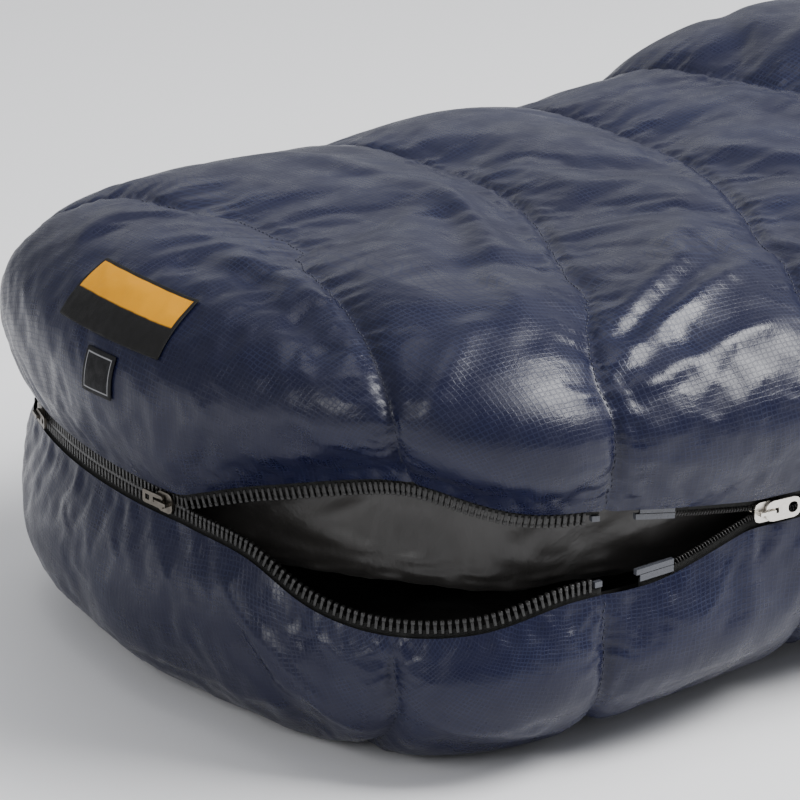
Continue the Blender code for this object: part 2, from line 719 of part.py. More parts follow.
def build_zip_halves(half, parent):
    """One half of each zip: tape, rows, and the side zip's pin, film and the foot zip's stop."""
    side = "upper" if half == TOP else "lower"
    mouth_u = edge_length_at(BAG_LENGTH - MOUTH_MARGIN)
    row_outs = (-ROW_THICKNESS / 2, ROW_THICKNESS / 2)
    row_rises = (ROW_PART, ROW_PART + ROW_HEIGHT)
    tape_outs = (-TAPE / 2, TAPE / 2)
    tape_rises = (row_rises[1] + CLEARANCE, TAPE_TOP)
    strip(f"foot_tape_{side}", half, *FOOT_ZIP, tape_outs, tape_rises, webbing, parent)
    strip(f"foot_teeth_{side}", half, FOOT_ZIP[0] + BARE_TAPE, FOOT_ZIP[1] - BARE_TAPE, row_outs, row_rises,
          teeth, parent)
    strip(f"side_tape_{side}", half, SIDE_ZIP_START, mouth_u, tape_outs, tape_rises, webbing, parent)
    strip(f"side_coil_{side}", half, SIDE_ZIP_START + FILM_LENGTH, mouth_u - BARE_TAPE, row_outs, row_rises,
          teeth, parent)
    pin_end = SIDE_ZIP_START + FILM_LENGTH - CLEARANCE
    strip(f"side_pin_{side}", half, SIDE_ZIP_START - PIN_TIP, pin_end, row_outs, row_rises, film, parent)
    face = TAPE / 2 + CLEARANCE
    strip(f"side_film_{side}", half, SIDE_ZIP_START, pin_end, (face, face + FILM),
          (row_rises[1] + CLEARANCE, TAPE_SHOWING - CLEARANCE), film, parent)
    strip(f"foot_stop_{side}", half, FOOT_ZIP[1] - BARE_TAPE + CLEARANCE, FOOT_ZIP[1], row_outs, row_rises,
          film, parent)


STATIONS = edge_stations()
for stale in list(bpy.data.objects):
    bpy.data.objects.remove(stale, do_unlink=True)
parts = bpy.data.collections.new("camp_quilt")
cutters = bpy.data.collections.new("cutters")
bpy.context.scene.collection.children.link(parts)
bpy.context.scene.collection.children.link(cutters)

ripstop = material("ripstop_shell", (0.020, 0.022, 0.050), 0.30)
lining = material("lining", (0.030, 0.028, 0.028), 0.55)
down = material("down_fill", (0.60, 0.58, 0.54), 0.90)
netting = material("baffle_netting", (0.30, 0.30, 0.30), 0.80)
webbing = material("zip_tape", (0.020, 0.020, 0.016), 0.85)
teeth = material("zip_teeth", (0.015, 0.014, 0.013), 0.40)
film = material("zip_film", (0.060, 0.065, 0.080), 0.35)
nickel = material("nickel_slider", (0.62, 0.59, 0.55), 0.28, 1.0)
gunmetal = material("gunmetal_slider", (0.16, 0.14, 0.12), 0.35, 1.0)
label_cloth = material("label_cloth", (0.75, 0.45, 0.05), 0.60)
tag_cloth = material("tag_cloth", (0.02, 0.02, 0.02), 0.70)

quilt = empty("quilt_frame", None, Vector((0.0, 0.0, 0.0)))
fold = empty("fold_axis", quilt, at_rim_height(edge(-SIDE_START)[0]))
foot_arc = empty("foot_arc_axis", quilt, at_rim_height((FOOT_FACE_RADIUS, 0.0)))
for half, carrier in ((BOTTOM, quilt), (TOP, fold)):
    build_half(half, carrier)
    build_zip_halves(half, carrier)
tube_split = SIDE_ZIP_START - DRAFT_TUBE_SPLIT
draft_tube("foot_draft_tube", FOOT_ZIP[0] + DRAFT_TUBE_MARGIN, tube_split, lining, fold)
draft_tube("side_draft_tube", tube_split + 2 * CLEARANCE, edge_length_at(BAG_LENGTH - MOUTH_MARGIN),
           lining, fold)
patch("label_patch", LABEL_AT, LABEL_SIZE, 8, 6, label_cloth, fold)
patch("loop_tag", TAG_AT, TAG_SIZE, 3, 3, tag_cloth, fold)
zip_set("side_foot_end", SIDE_SLIDER_AT, -1, RING_PULL, nickel, quilt)
zip_set("side_head_end", edge_length_at(BAG_LENGTH - HEAD_SLIDER_FROM_MOUTH), 1, RING_PULL, nickel, quilt)
zip_set("foot_near", FOOT_SLIDER_AT, 1, TAB_PULL, gunmetal, foot_arc)
zip_set("foot_far", FAR_SLIDER_AT, -1, TAB_PULL, gunmetal, foot_arc)
stand_on_ground()
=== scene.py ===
"""The looks of the camp quilt: puffed shells, linings, draft tubes, zips, sliders, label and tag."""

import json
import math

import bmesh
import bpy
import numpy as np
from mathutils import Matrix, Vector, kdtree
from mathutils.bvhtree import BVHTree
from mathutils.geometry import delaunay_2d_cdt


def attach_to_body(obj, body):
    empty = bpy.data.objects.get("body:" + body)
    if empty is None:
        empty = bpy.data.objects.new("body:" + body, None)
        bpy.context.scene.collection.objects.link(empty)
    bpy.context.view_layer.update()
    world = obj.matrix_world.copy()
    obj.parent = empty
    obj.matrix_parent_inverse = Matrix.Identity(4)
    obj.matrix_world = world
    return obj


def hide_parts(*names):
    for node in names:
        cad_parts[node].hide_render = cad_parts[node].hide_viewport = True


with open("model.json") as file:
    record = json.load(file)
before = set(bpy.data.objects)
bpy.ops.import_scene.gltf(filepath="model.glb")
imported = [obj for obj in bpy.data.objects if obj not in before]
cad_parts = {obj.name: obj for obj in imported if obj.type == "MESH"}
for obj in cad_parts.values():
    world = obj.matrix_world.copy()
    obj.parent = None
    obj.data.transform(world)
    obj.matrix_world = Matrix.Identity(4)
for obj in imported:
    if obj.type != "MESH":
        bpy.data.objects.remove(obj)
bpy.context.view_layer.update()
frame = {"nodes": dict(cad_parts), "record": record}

# Outline of the bag at its zip plane, in the bag's own frame: x from the foot, near side at -y
BAG_LENGTH = 2.0
FOOT_WIDTH = 0.349
SHOULDER_WIDTH = 0.755
RIM_HEIGHT = 0.102
RIM_RISE = 0.0115
FACE_RADIUS = 0.36
CORNER_RADIUS = 0.10
LOFT = 0.045
TAPE_SHOWING = 0.007
TAPE_TOP = 0.014
PARTING_FADE = 0.085
TOP_PARTING = ((0.036, 0, 0), (0.080, 0.013, -0.011), (0.150, 0.025, -0.022), (0.215, 0.014, -0.008),
               (0.250, 0.011, -0.003), (0.285, 0.006, 0), (0.328, 0, 0))
BOTTOM_PARTING = ((0.036, 0, 0), (0.080, 0.003, 0.003), (0.115, 0.017, 0.004), (0.150, 0.024, 0.003),
                  (0.190, 0.023, 0.002), (0.230, 0.015, 0), (0.280, 0.014, 0), (0.328, 0, 0))
FOOT_ZIP = (-0.130, 0.250)
SIDE_ZIP_START = 0.270
MOUTH_MARGIN = 0.020

SLOPE = math.atan((SHOULDER_WIDTH - FOOT_WIDTH) / 2 / BAG_LENGTH)
CORNER_START = math.asin(
    (FOOT_WIDTH / 2 * math.cos(SLOPE) - CORNER_RADIUS + FACE_RADIUS * math.sin(SLOPE))
    / (FACE_RADIUS - CORNER_RADIUS)) - SLOPE
CORNER_END = math.pi / 2 - SLOPE
CORNER_X = FACE_RADIUS - (FACE_RADIUS - CORNER_RADIUS) * math.cos(CORNER_START)
CORNER_Y = (FACE_RADIUS - CORNER_RADIUS) * math.sin(CORNER_START)
FACE_ARC = FACE_RADIUS * CORNER_START
SIDE_START = FACE_ARC + CORNER_RADIUS * (CORNER_END - CORNER_START)
SIDE_X = CORNER_X - CORNER_RADIUS * math.cos(CORNER_END)
SIDE_Y = CORNER_Y + CORNER_RADIUS * math.sin(CORNER_END)

JOINTS = {joint["name"]: joint for joint in frame["record"]["behaviour"]["joints"]}
ARC_CENTRE = JOINTS["foot_slider_near_travel"]["pos_m"]
SHIFT = np.array([ARC_CENTRE[0] - FACE_RADIUS, ARC_CENTRE[1], 0.0])

TOP, BOTTOM = 1, -1
WALL = 0.085                # width of the unrolled wall outside the outline
MOUTH_ROLL = 0.060          # fabric past the mouth that rolls in over the hem


# ---------------------------------------------------------------- the bag's shape

def clamp(value):
    return np.clip(value, 0.0, 1.0)


def smooth(value):
    value = clamp(value)
    return value * value * (3 - 2 * value)


def edge(u):
    """Points on the outline and its outward directions, for lengths u along it from the foot."""
    u = np.asarray(u, float)
    side = np.where(u >= 0, 1.0, -1.0)
    length = np.abs(u)
    face = length / FACE_RADIUS
    corner = np.minimum(CORNER_START + (length - FACE_ARC) / CORNER_RADIUS, CORNER_END)
    straight = np.maximum(0.0, length - SIDE_START)
    on_face = length <= FACE_ARC
    angle = np.where(on_face, face, corner)
    x = np.where(on_face, FACE_RADIUS * (1 - np.cos(angle)),
                 CORNER_X - CORNER_RADIUS * np.cos(angle) + straight * math.cos(SLOPE))
    y = np.where(on_face, FACE_RADIUS * np.sin(angle),
                 CORNER_Y + CORNER_RADIUS * np.sin(angle) + straight * math.sin(SLOPE))
    return np.stack([x, -side * y], -1), np.stack([-np.cos(angle), -side * np.sin(angle)], -1)


def edge_coordinates(points):
    """(u, distance outwards) of plan points."""
    x, y = points[..., 0], points[..., 1]
    side = np.where(y <= 0, 1.0, -1.0)
    y = np.abs(y)
    face_angle = np.clip(np.arctan2(y, FACE_RADIUS - x), 0, CORNER_START)
    face_out = np.hypot(FACE_RADIUS - x, y) - FACE_RADIUS
    face_out = np.where(x > FACE_RADIUS * 0.9, -1.0, face_out)
    corner_angle = np.arctan2(y - CORNER_Y, CORNER_X - x)
    corner_out = np.hypot(CORNER_X - x, y - CORNER_Y) - CORNER_RADIUS
    in_corner = (corner_angle >= CORNER_START) & (corner_angle <= CORNER_END)
    normal = (-math.cos(CORNER_END), math.sin(CORNER_END))
    side_out = (x - SIDE_X) * normal[0] + (y - SIDE_Y) * normal[1]
    along = np.maximum(0.0, (x - SIDE_X) * math.cos(SLOPE) + (y - SIDE_Y) * math.sin(SLOPE))
    on_face = face_out > side_out
    u = np.where(on_face, FACE_RADIUS * face_angle, SIDE_START + along)
    out = np.where(on_face, face_out, side_out)
    u = np.where(in_corner, FACE_ARC + CORNER_RADIUS * (corner_angle - CORNER_START), u)
    out = np.where(in_corner, corner_out, out)
    return side * u, out


def beside_edge(plan):
    """(u, distance outwards) of unrolled points; those past the mouth count as if they were at it."""
    return edge_coordinates(np.stack([np.minimum(plan[:, 0], BAG_LENGTH), plan[:, 1]], -1))


def side_length(x):
    return SIDE_START + (x - SIDE_X) / math.cos(SLOPE)


def rim_height(x):
    return RIM_HEIGHT + RIM_RISE * x


def spline(knots, u):
    """Catmull-Rom values at u through (u, value, value) knots, and 0 beyond them."""
    knots = np.array(knots, float)
    index = np.clip(np.searchsorted(knots[:, 0], u, side="right") - 1, 0, len(knots) - 2)
    before, start = knots[np.maximum(index - 1, 0)], knots[index]
    end, after = knots[index + 1], knots[np.minimum(index + 2, len(knots) - 1)]
    span = (end - start)[..., :1]
    share = clamp((u[..., None] - start[..., :1]) / span)
    slope_in = (end - before) * span / np.maximum((end - before)[..., :1], 1e-6)
    slope_out = (after - start) * span / np.maximum((after - start)[..., :1], 1e-6)
    value = (start * (1 + 2 * share) * (1 - share) ** 2 + slope_in * share * (1 - share) ** 2
             + end * share ** 2 * (3 - 2 * share) - slope_out * share ** 2 * (1 - share))
    outside = (u <= knots[0, 0]) | (u >= knots[-1, 0])
    return np.where(outside[..., None], 0.0, value)[..., 1:]


def parting(half, u):
    """(rise, out) of the row where the foot zip is parted."""
    values = spline(TOP_PARTING if half == TOP else BOTTOM_PARTING, np.asarray(u, float))
    return values[..., 0], values[..., 1]


def row_follow(rise):
    return (1 - clamp((rise - TAPE_TOP) / PARTING_FADE)) ** 2


def zipped(u):
    return smooth((np.asarray(u, float) + SIDE_START) / (SIDE_START + FOOT_ZIP[0]))


def rounding(half, u):
    """Horizontal reach of the rounded shoulder between a wall and the top or the base."""
    if half == TOP:
        return np.full(np.shape(u), 0.085)
    return 0.045 + 0.035 * smooth(np.abs(u) / SIDE_START - 0.4)


PROFILE_STEPS = 64


def wall_profile(half, u, share_along):
    """(out, rise) on the wall, `share_along` of its length from the rim to the edge of the flat."""
    height = rim_height(edge(u)[0][..., 0])
    reach = rounding(half, u)
    bulge = (0.015 if half == TOP else 0.008) * zipped(u)
    start = 0.0012 + (TAPE_SHOWING - 0.0012) * zipped(u)
    turn = np.linspace(0, 1, PROFILE_STEPS)
    straight = np.linspace(0, 1, PROFILE_STEPS, endpoint=False)
    rise = np.concatenate([start[..., None] + (height[..., None] / 2 - start[..., None]) * straight,
                           height[..., None] / 2 * (1 + np.sin(turn * math.pi / 2))], -1)
    share = rise / height[..., None]
    puff = bulge[..., None] * (1 - (1 - 2 * np.minimum(share, 0.5)) ** 2)
    out = puff - reach[..., None] * (1 - np.sqrt(np.maximum(0, 1 - clamp(2 * share - 1) ** 2)))
    steps = np.hypot(np.diff(out), np.diff(rise))
    length = np.concatenate([np.zeros((*steps.shape[:-1], 1)), np.cumsum(steps, -1)], -1)
    wanted = share_along * length[..., -1]
    index = np.clip((length < wanted[..., None]).sum(-1) - 1, 0, length.shape[-1] - 2)

    def take(values, offset):
        return np.take_along_axis(values, (index + offset)[..., None], -1)[..., 0]

    part = (wanted - take(length, 0)) / np.maximum(take(length, 1) - take(length, 0), 1e-9)
    return (take(out, 0) + (take(out, 1) - take(out, 0)) * part,
            take(rise, 0) + (take(rise, 1) - take(rise, 0)) * part)


def on_bag(half, flat_points):
    """Points of the bag's smooth outer form, for points of the unrolled half: the plan, with the walls
    laid out flat around it."""
    points = np.array(flat_points, float)
    rolled = np.maximum(0.0, points[..., 0] - BAG_LENGTH)
    points[..., 0] = np.minimum(points[..., 0], BAG_LENGTH)
    u, out = edge_coordinates(points)
    reach = rounding(half, u)
    share_along = clamp((WALL - out) / (WALL + reach))
    wall_out, rise = wall_profile(half, u, share_along)
    edge_point, normal = edge(u)
    part_rise, part_out = parting(half, u)
    follow = row_follow(rise)
    plan = edge_point + normal * (wall_out + part_out * follow)[..., None]
    on_flat = out < -reach
    plan = np.where(on_flat[..., None], points, plan)
    height = rim_height(plan[..., 0])
    rise = np.where(on_flat, height, rise * height / rim_height(edge_point[..., 0]) + part_rise * follow)
    z = height + half * rise
    return np.concatenate([plan, z[..., None]], -1), rolled


def bag_surface(half, flat_points):
    """Points and outward normals of the bag's form, before its hem is rolled."""
    step = 0.0008
    here, rolled = on_bag(half, flat_points)
    shift_x, shift_y = np.array([step, 0.0]), np.array([0.0, step])
    clipped = np.array(flat_points, float)
    clipped[..., 0] = np.minimum(clipped[..., 0], BAG_LENGTH - step)
    along = on_bag(half, clipped + shift_x)[0] - on_bag(half, clipped - shift_x)[0]
    across = on_bag(half, clipped + shift_y)[0] - on_bag(half, clipped - shift_y)[0]
    normal = np.cross(along, across) * half
    normal /= np.maximum(np.linalg.norm(normal, axis=-1, keepdims=True), 1e-12)
    return here, normal, rolled


def to_world(points):
    return np.asarray(points) + SHIFT


# ---------------------------------------------------------------- unrolled halves

def at_edge(u, out):
    point, normal = edge(u)
    return point + normal * out


def lengths_along(points):
    """How far along a path each of its points is."""
    return np.concatenate([[0], np.cumsum(np.linalg.norm(np.diff(points, axis=0), axis=1))])


def between_points(wanted, places, points):
    """Points at the wanted places, interpolated between points at known ones."""
    return np.stack([np.interp(wanted, places, values) for values in points.T], -1)


def catmull_rom(before, start, end, after, share):
    return 0.5 * (2 * start + (end - before) * share
                  + (2 * before - 5 * start + 4 * end - after) * share ** 2
                  + (3 * start - before - 3 * end + after) * share ** 3)


def tree_of(points):
    """A search tree of plan points."""
    tree = kdtree.KDTree(len(points))
    for index, (x, y) in enumerate(points):
        tree.insert((x, y, 0.0), index)
    tree.balance()
    return tree


def nearest(tree, points):
    return np.array([tree.find((x, y, 0.0))[1] for x, y in points])


def curve_through(points, spacing):
    """A Catmull-Rom curve through plan points, with points about `spacing` apart."""
    points = np.array(points, float)
    padded = np.concatenate([2 * points[:1] - points[1:2], points, 2 * points[-1:] - points[-2:-1]])
    fine = []
    for index in range(1, len(padded) - 2):
        before, start, end, after = padded[index - 1:index + 3]
        for share in np.linspace(0, 1, 40, endpoint=False):
            fine.append(catmull_rom(before, start, end, after, share))
    fine.append(points[-1])
    fine = np.array(fine)
    length = lengths_along(fine)
    count = max(2, int(round(length[-1] / spacing(fine[len(fine) // 2])))) + 1
    return between_points(np.linspace(0, length[-1], count), length, fine)


def seam_plan(half, near_u, middle, far_u, spacing):
    """A seam across a half: up the near wall, over the middle points and down the far wall."""
    wall_points = [0.085, 0.055, 0.020] if half == TOP else [0.085, 0.055, 0.015]
    near = [at_edge(near_u, out) for out in wall_points]
    far = [at_edge(far_u, out) for out in reversed(wall_points)]
    return curve_through([*near, *middle, *far], spacing)


BODY_SEAM_PITCH = 0.118
TOP_SEAMS = [
    (0.1555, [(0.052, -0.112), (0.080, -0.040), (0.088, 0.004), (0.090, 0.066), (0.077, 0.112)], -0.1555),
    (0.250, [(0.126, -0.165), (0.174, -0.088), (0.216, 0.000), (0.224, 0.080), (0.214, 0.140)], -0.320),
    (0.371, [(0.252, -0.152), (0.303, -0.063), (0.333, 0.003), (0.345, 0.070), (0.344, 0.150)], -0.450),
]
BOTTOM_SEAMS = [
    (0.1555, [(0.050, -0.110), (0.080, -0.040), (0.090, 0.004), (0.088, 0.066), (0.077, 0.112)], -0.1555),
    (0.250, [(0.130, -0.160), (0.190, -0.080), (0.216, 0.000), (0.220, 0.080), (0.210, 0.140)], -0.320),
    (0.371, [(0.262, -0.150), (0.313, -0.063), (0.333, 0.003), (0.345, 0.070), (0.344, 0.150)], -0.450),
]


def later_seams():
    """The seams past the shin, which bow towards the mouth in the middle of the bag."""
    seams = []
    middle_x = TOP_SEAMS[-1][1][2][0] + BODY_SEAM_PITCH
    while middle_x < BAG_LENGTH - 0.07:
        bow = 0.052 * (1 - smooth((middle_x - 0.4) / 0.5)) + 0.012
        half_width = FOOT_WIDTH / 2 + math.tan(SLOPE) * middle_x
        middle = [(middle_x - bow * share ** 2, y * half_width)
                  for y, share in ((-0.72, 0.9), (-0.36, 0.45), (0.0, 0.0), (0.36, 0.35), (0.72, 0.55))]
        near_u = side_length(middle_x - bow * 1.5)
        far_u = -side_length(middle_x - bow * 0.5)
        seams.append((near_u, middle, far_u))
        middle_x += BODY_SEAM_PITCH
    return seams


def outline(out, spacing):
    """The unrolled half's outline: around the foot from the near end of the mouth to the far end."""
    end = side_length(BAG_LENGTH)
    points = []
    u = end
    while u > -end:
        points.append(at_edge(u, out))
        u -= spacing(points[-1])
    points = points[:-1] + [at_edge(-end, out)]
    return points


def unrolled_mesh(half, spacing, seams):
    """(plan points, triangles, seam vertex lists, rim vertices) of the unrolled half."""
    points, edges = [], []

    def add_line(line):
        first = len(points)
        points.extend(line)
        edges.extend((index, index + 1) for index in range(first, len(points) - 1))
        return list(range(first, len(points)))

    rim = outline(WALL, spacing)
    near_mouth, far_mouth = rim[0], rim[-1]
    roll_steps = max(3, int(MOUTH_ROLL / spacing((BAG_LENGTH, 0))))
    rolls = [np.array([MOUTH_ROLL * step / roll_steps, 0]) for step in range(1, roll_steps + 1)]
    near_roll = [near_mouth + roll for roll in reversed(rolls)]
    far_roll = [far_mouth + roll for roll in rolls]
    boundary = near_roll + rim + far_roll
    add_line(boundary)
    width = far_roll[-1][1] - near_roll[0][1]
    end_steps = int(width / spacing((BAG_LENGTH, 0)))
    end_line = [far_roll[-1] + np.array([0, -width * step / end_steps]) for step in range(1, end_steps)]
    first_end = len(points)
    points.extend(end_line)
    edges.extend((index, index + 1) for index in range(first_end - 1, len(points) - 1))
    edges.append((len(points) - 1, 0))
    rim_count = len(boundary)
    seam_lines = []
    for near_u, middle, far_u in seams:
        line = list(seam_plan(half, near_u, middle, far_u, spacing))
        ends = [int(np.argmin([np.hypot(*(p - q)) for p in boundary])) for q in (line[0], line[-1])]
        first = len(points)
        points.extend(line[1:-1])
        chain = [ends[0], *range(first, len(points)), ends[1]]
        edges.extend(zip(chain, chain[1:]))
        seam_lines.append(chain)
    fixed = np.array(points)
    rng = np.random.default_rng(5)
    inner = []
    x = fixed[:, 0].min()
    row = 0
    while x < fixed[:, 0].max():
        pitch = spacing((x, 0))
        y_values = np.arange(fixed[:, 1].min(), fixed[:, 1].max(), pitch) + (pitch / 2 if row % 2 else 0)
        inner.append(np.stack([np.full(len(y_values), x), y_values], -1)
                     + rng.uniform(-0.18, 0.18, (len(y_values), 2)) * pitch)
        x += pitch * 0.866
        row += 1
    inner = np.concatenate(inner)
    _, out = beside_edge(inner)
    local = np.array([spacing(point) for point in inner])
    keep = (out < WALL - 0.5 * local) & (inner[:, 0] < BAG_LENGTH + MOUTH_ROLL - 0.5 * local)
    inner, local = inner[keep], local[keep]
    near = np.full(len(inner), np.inf)
    for start in range(0, len(inner), 2000):
        block = inner[start:start + 2000]
        near[start:start + 2000] = np.linalg.norm(block[:, None] - fixed[None], axis=-1).min(1)
    inner = inner[near > 0.62 * local]
    everything = np.concatenate([fixed, inner])
    result = delaunay_2d_cdt([Vector(point) for point in everything], edges, [], 0, 1e-7)
    made, triangles, origins = result[0], result[2], result[3]
    plan = np.array([tuple(vertex) for vertex in made])
    new_index = {}
    for index, sources in enumerate(origins):
        for source in sources:
            new_index[source] = index
    centres = plan[np.array([tri for tri in triangles if len(tri) == 3])].mean(1)
    _, centre_out = beside_edge(centres)
    faces = [tri for tri in triangles if len(tri) == 3]
    inside = (centre_out < WALL - 1e-5) & (centres[:, 0] < BAG_LENGTH + MOUTH_ROLL - 1e-6)
    faces = [tri for tri, keep_it in zip(faces, inside) if keep_it]
    return (plan, faces, [[new_index[i] for i in chain] for chain in seam_lines],
            [new_index[i] for i in range(rim_count)])


# ---------------------------------------------------------------- materials

def new_material(name, colour, roughness, metallic=0.0):
    made = bpy.data.materials.new(name)
    made.use_nodes = True
    shader = made.node_tree.nodes["Principled BSDF"]
    shader.inputs["Base Color"].default_value = (*colour, 1.0)
    shader.inputs["Roughness"].default_value = roughness
    shader.inputs["Metallic"].default_value = metallic
    return made, made.node_tree, shader


def link(tree, output, target):
    """Joins an output to an input, or sets the input to a number."""
    if isinstance(output, (int, float)):
        target.default_value = output
    else:
        tree.links.new(output, target)


def maths(tree, operation, first, second=0.0):
    node = tree.nodes.new("ShaderNodeMath")
    node.operation = operation
    link(tree, first, node.inputs[0])
    link(tree, second, node.inputs[1])
    return node.outputs[0]


def ramp(tree, value, low, high, to_low=0.0, to_high=1.0):
    node = tree.nodes.new("ShaderNodeMapRange")
    node.interpolation_type = "SMOOTHSTEP"
    link(tree, value, node.inputs["Value"])
    for name, number in (("From Min", low), ("From Max", high), ("To Min", to_low), ("To Max", to_high)):
        node.inputs[name].default_value = number
    return node.outputs["Result"]


def noise(tree, vector, scale, detail=3.0, roughness=0.55, distortion=0.0):
    node = tree.nodes.new("ShaderNodeTexNoise")
    tree.links.new(vector, node.inputs["Vector"])
    node.inputs["Scale"].default_value = scale
    node.inputs["Detail"].default_value = detail
    node.inputs["Roughness"].default_value = roughness
    node.inputs["Distortion"].default_value = distortion
    return node.outputs["Fac"]


def mixed(tree, share, first, second):
    node = tree.nodes.new("ShaderNodeMix")
    node.data_type = "RGBA"
    link(tree, share, node.inputs[0])
    for value, socket in ((first, node.inputs[6]), (second, node.inputs[7])):
        if isinstance(value, tuple):
            socket.default_value = (*value, 1.0)
        else:
            tree.links.new(value, socket)
    return node.outputs[2]


def bump(tree, height, strength, distance, normal=None):
    node = tree.nodes.new("ShaderNodeBump")
    node.inputs["Strength"].default_value = strength
    node.inputs["Distance"].default_value = distance
    tree.links.new(height, node.inputs["Height"])
    if normal:
        tree.links.new(normal, node.inputs["Normal"])
    return node.outputs[0]


def cloth_coordinates(tree):
    node = tree.nodes.new("ShaderNodeAttribute")
    node.attribute_name = "cloth"
    return node.outputs["Vector"]


def object_coordinates(tree):
    return tree.nodes.new("ShaderNodeTexCoord").outputs["Object"]


def split(tree, vector):
    node = tree.nodes.new("ShaderNodeSeparateXYZ")
    tree.links.new(vector, node.inputs[0])
    return node.outputs


def stripes(tree, coordinate, pitch, share):
    """1 on thin lines `pitch` apart, 0 between them."""
    place = maths(tree, "FRACT", maths(tree, "DIVIDE", coordinate, pitch))
    off_line = maths(tree, "ABSOLUTE", maths(tree, "SUBTRACT", place, 0.5))
    return ramp(tree, off_line, share / 2, share)


def uneven_gloss(tree, shader, coordinates, scale, low, high, detail=3.0):
    """Roughness that wanders between two values."""
    link(tree, ramp(tree, noise(tree, coordinates, scale, detail), 0.3, 0.7, low, high),
         shader.inputs["Roughness"])


def ripstop_fabric(name, dark, light, roughness, pitch=0.0026):
    """Downproof nylon: a fine weave with a grid of thicker threads, and small creases."""
    made, tree, shader = new_material(name, dark, roughness)
    cloth = cloth_coordinates(tree)
    parts = split(tree, cloth)
    across = maths(tree, "SUBTRACT", 1.0, stripes(tree, parts[0], pitch, 0.16))
    along = maths(tree, "SUBTRACT", 1.0, stripes(tree, parts[1], pitch, 0.16))
    grid = maths(tree, "MAXIMUM", across, along)
    patchy = noise(tree, cloth, 22.0, 3.0)
    worn = ramp(tree, patchy, 0.35, 0.70, 0.25, 1.0)
    colour = mixed(tree, maths(tree, "MULTIPLY", grid, worn), dark, light)
    shade = noise(tree, cloth, 6.0, 2.0)
    colour = mixed(tree, ramp(tree, shade, 0.3, 0.7, 0.0, 0.35), colour,
                   tuple(value * 0.55 for value in dark))
    link(tree, colour, shader.inputs["Base Color"])
    gloss = ramp(tree, noise(tree, cloth, 60.0, 4.0), 0.3, 0.7, roughness - 0.05, roughness + 0.09)
    link(tree, maths(tree, "ADD", gloss, maths(tree, "MULTIPLY", grid, 0.08)), shader.inputs["Roughness"])
    creases = noise(tree, cloth, 46.0, 5.0, 0.6, distortion=0.6)
    fine = noise(tree, cloth, 170.0, 3.0, 0.6)
    normal = bump(tree, creases, 0.22, 0.0022)
    normal = bump(tree, fine, 0.25, 0.0005, normal)
    normal = bump(tree, grid, 0.35, 0.00008, normal)
    link(tree, normal, shader.inputs["Normal"])
    shader.inputs["Specular IOR Level"].default_value = 0.30
    return made


def plain_fabric(name, dark, light, roughness, weave=0.0006):
    """Lining taffeta: a close plain weave with soft creases."""
    made, tree, shader = new_material(name, dark, roughness)
    cloth = cloth_coordinates(tree)
    parts = split(tree, cloth)
    warp = stripes(tree, parts[0], weave, 0.5)
    weft = stripes(tree, parts[1], weave, 0.5)
    threads = maths(tree, "MULTIPLY", warp, weft)
    tone = ramp(tree, noise(tree, cloth, 14.0, 4.0), 0.3, 0.7)
    link(tree, mixed(tree, tone, dark, light), shader.inputs["Base Color"])
    uneven_gloss(tree, shader, cloth, 70.0, roughness - 0.06, roughness + 0.06)
    normal = bump(tree, noise(tree, cloth, 38.0, 4.0, distortion=0.5), 0.45, 0.003)
    link(tree, bump(tree, threads, 0.4, 0.00008, normal), shader.inputs["Normal"])
    shader.inputs["Sheen Weight"].default_value = 0.06
    return made


def woven_tape(name, dark, light):
    """Zip tape or webbing: a herringbone of thick threads."""
    made, tree, shader = new_material(name, dark, 0.8)
    shader.inputs["Specular IOR Level"].default_value = 0.25
    place = object_coordinates(tree)
    parts = split(tree, place)
    slant = maths(tree, "ADD", maths(tree, "ADD", parts[0], parts[1]), parts[2])
    counter = maths(tree, "SUBTRACT", maths(tree, "ADD", parts[0], parts[1]), parts[2])
    threads = maths(tree, "MAXIMUM", stripes(tree, slant, 0.0009, 0.5), stripes(tree, counter, 0.0009, 0.5))
    link(tree, mixed(tree, threads, dark, light), shader.inputs["Base Color"])
    uneven_gloss(tree, shader, place, 240.0, 0.68, 0.9)
    link(tree, bump(tree, threads, 0.5, 0.0002), shader.inputs["Normal"])
    shader.inputs["Sheen Weight"].default_value = 0.04
    return made


def moulded_plastic(name, dark, light, roughness):
    made, tree, shader = new_material(name, dark, roughness)
    place = object_coordinates(tree)
    link(tree, mixed(tree, noise(tree, place, 160.0), dark, light), shader.inputs["Base Color"])
    uneven_gloss(tree, shader, place, 500.0, roughness - 0.08, roughness + 0.1)
    link(tree, bump(tree, noise(tree, place, 900.0), 0.25, 0.0001), shader.inputs["Normal"])
    return made


def cast_metal(name, bright, dark, roughness):
    """Plated zinc casting, rubbed bright on its high spots."""
    made, tree, shader = new_material(name, bright, roughness, 1.0)
    place = object_coordinates(tree)
    cloudy = noise(tree, place, 260.0, 4.0)
    edges = tree.nodes.new("ShaderNodeNewGeometry").outputs["Pointiness"]
    rubbed = ramp(tree, edges, 0.48, 0.58)
    colour = mixed(tree, ramp(tree, cloudy, 0.35, 0.75), bright, dark)
    link(tree, mixed(tree, rubbed, colour, bright), shader.inputs["Base Color"])
    link(tree, ramp(tree, cloudy, 0.3, 0.75, roughness - 0.06, roughness + 0.14),
         shader.inputs["Roughness"])
    link(tree, bump(tree, noise(tree, place, 700.0), 0.3, 0.00008), shader.inputs["Normal"])
    return made


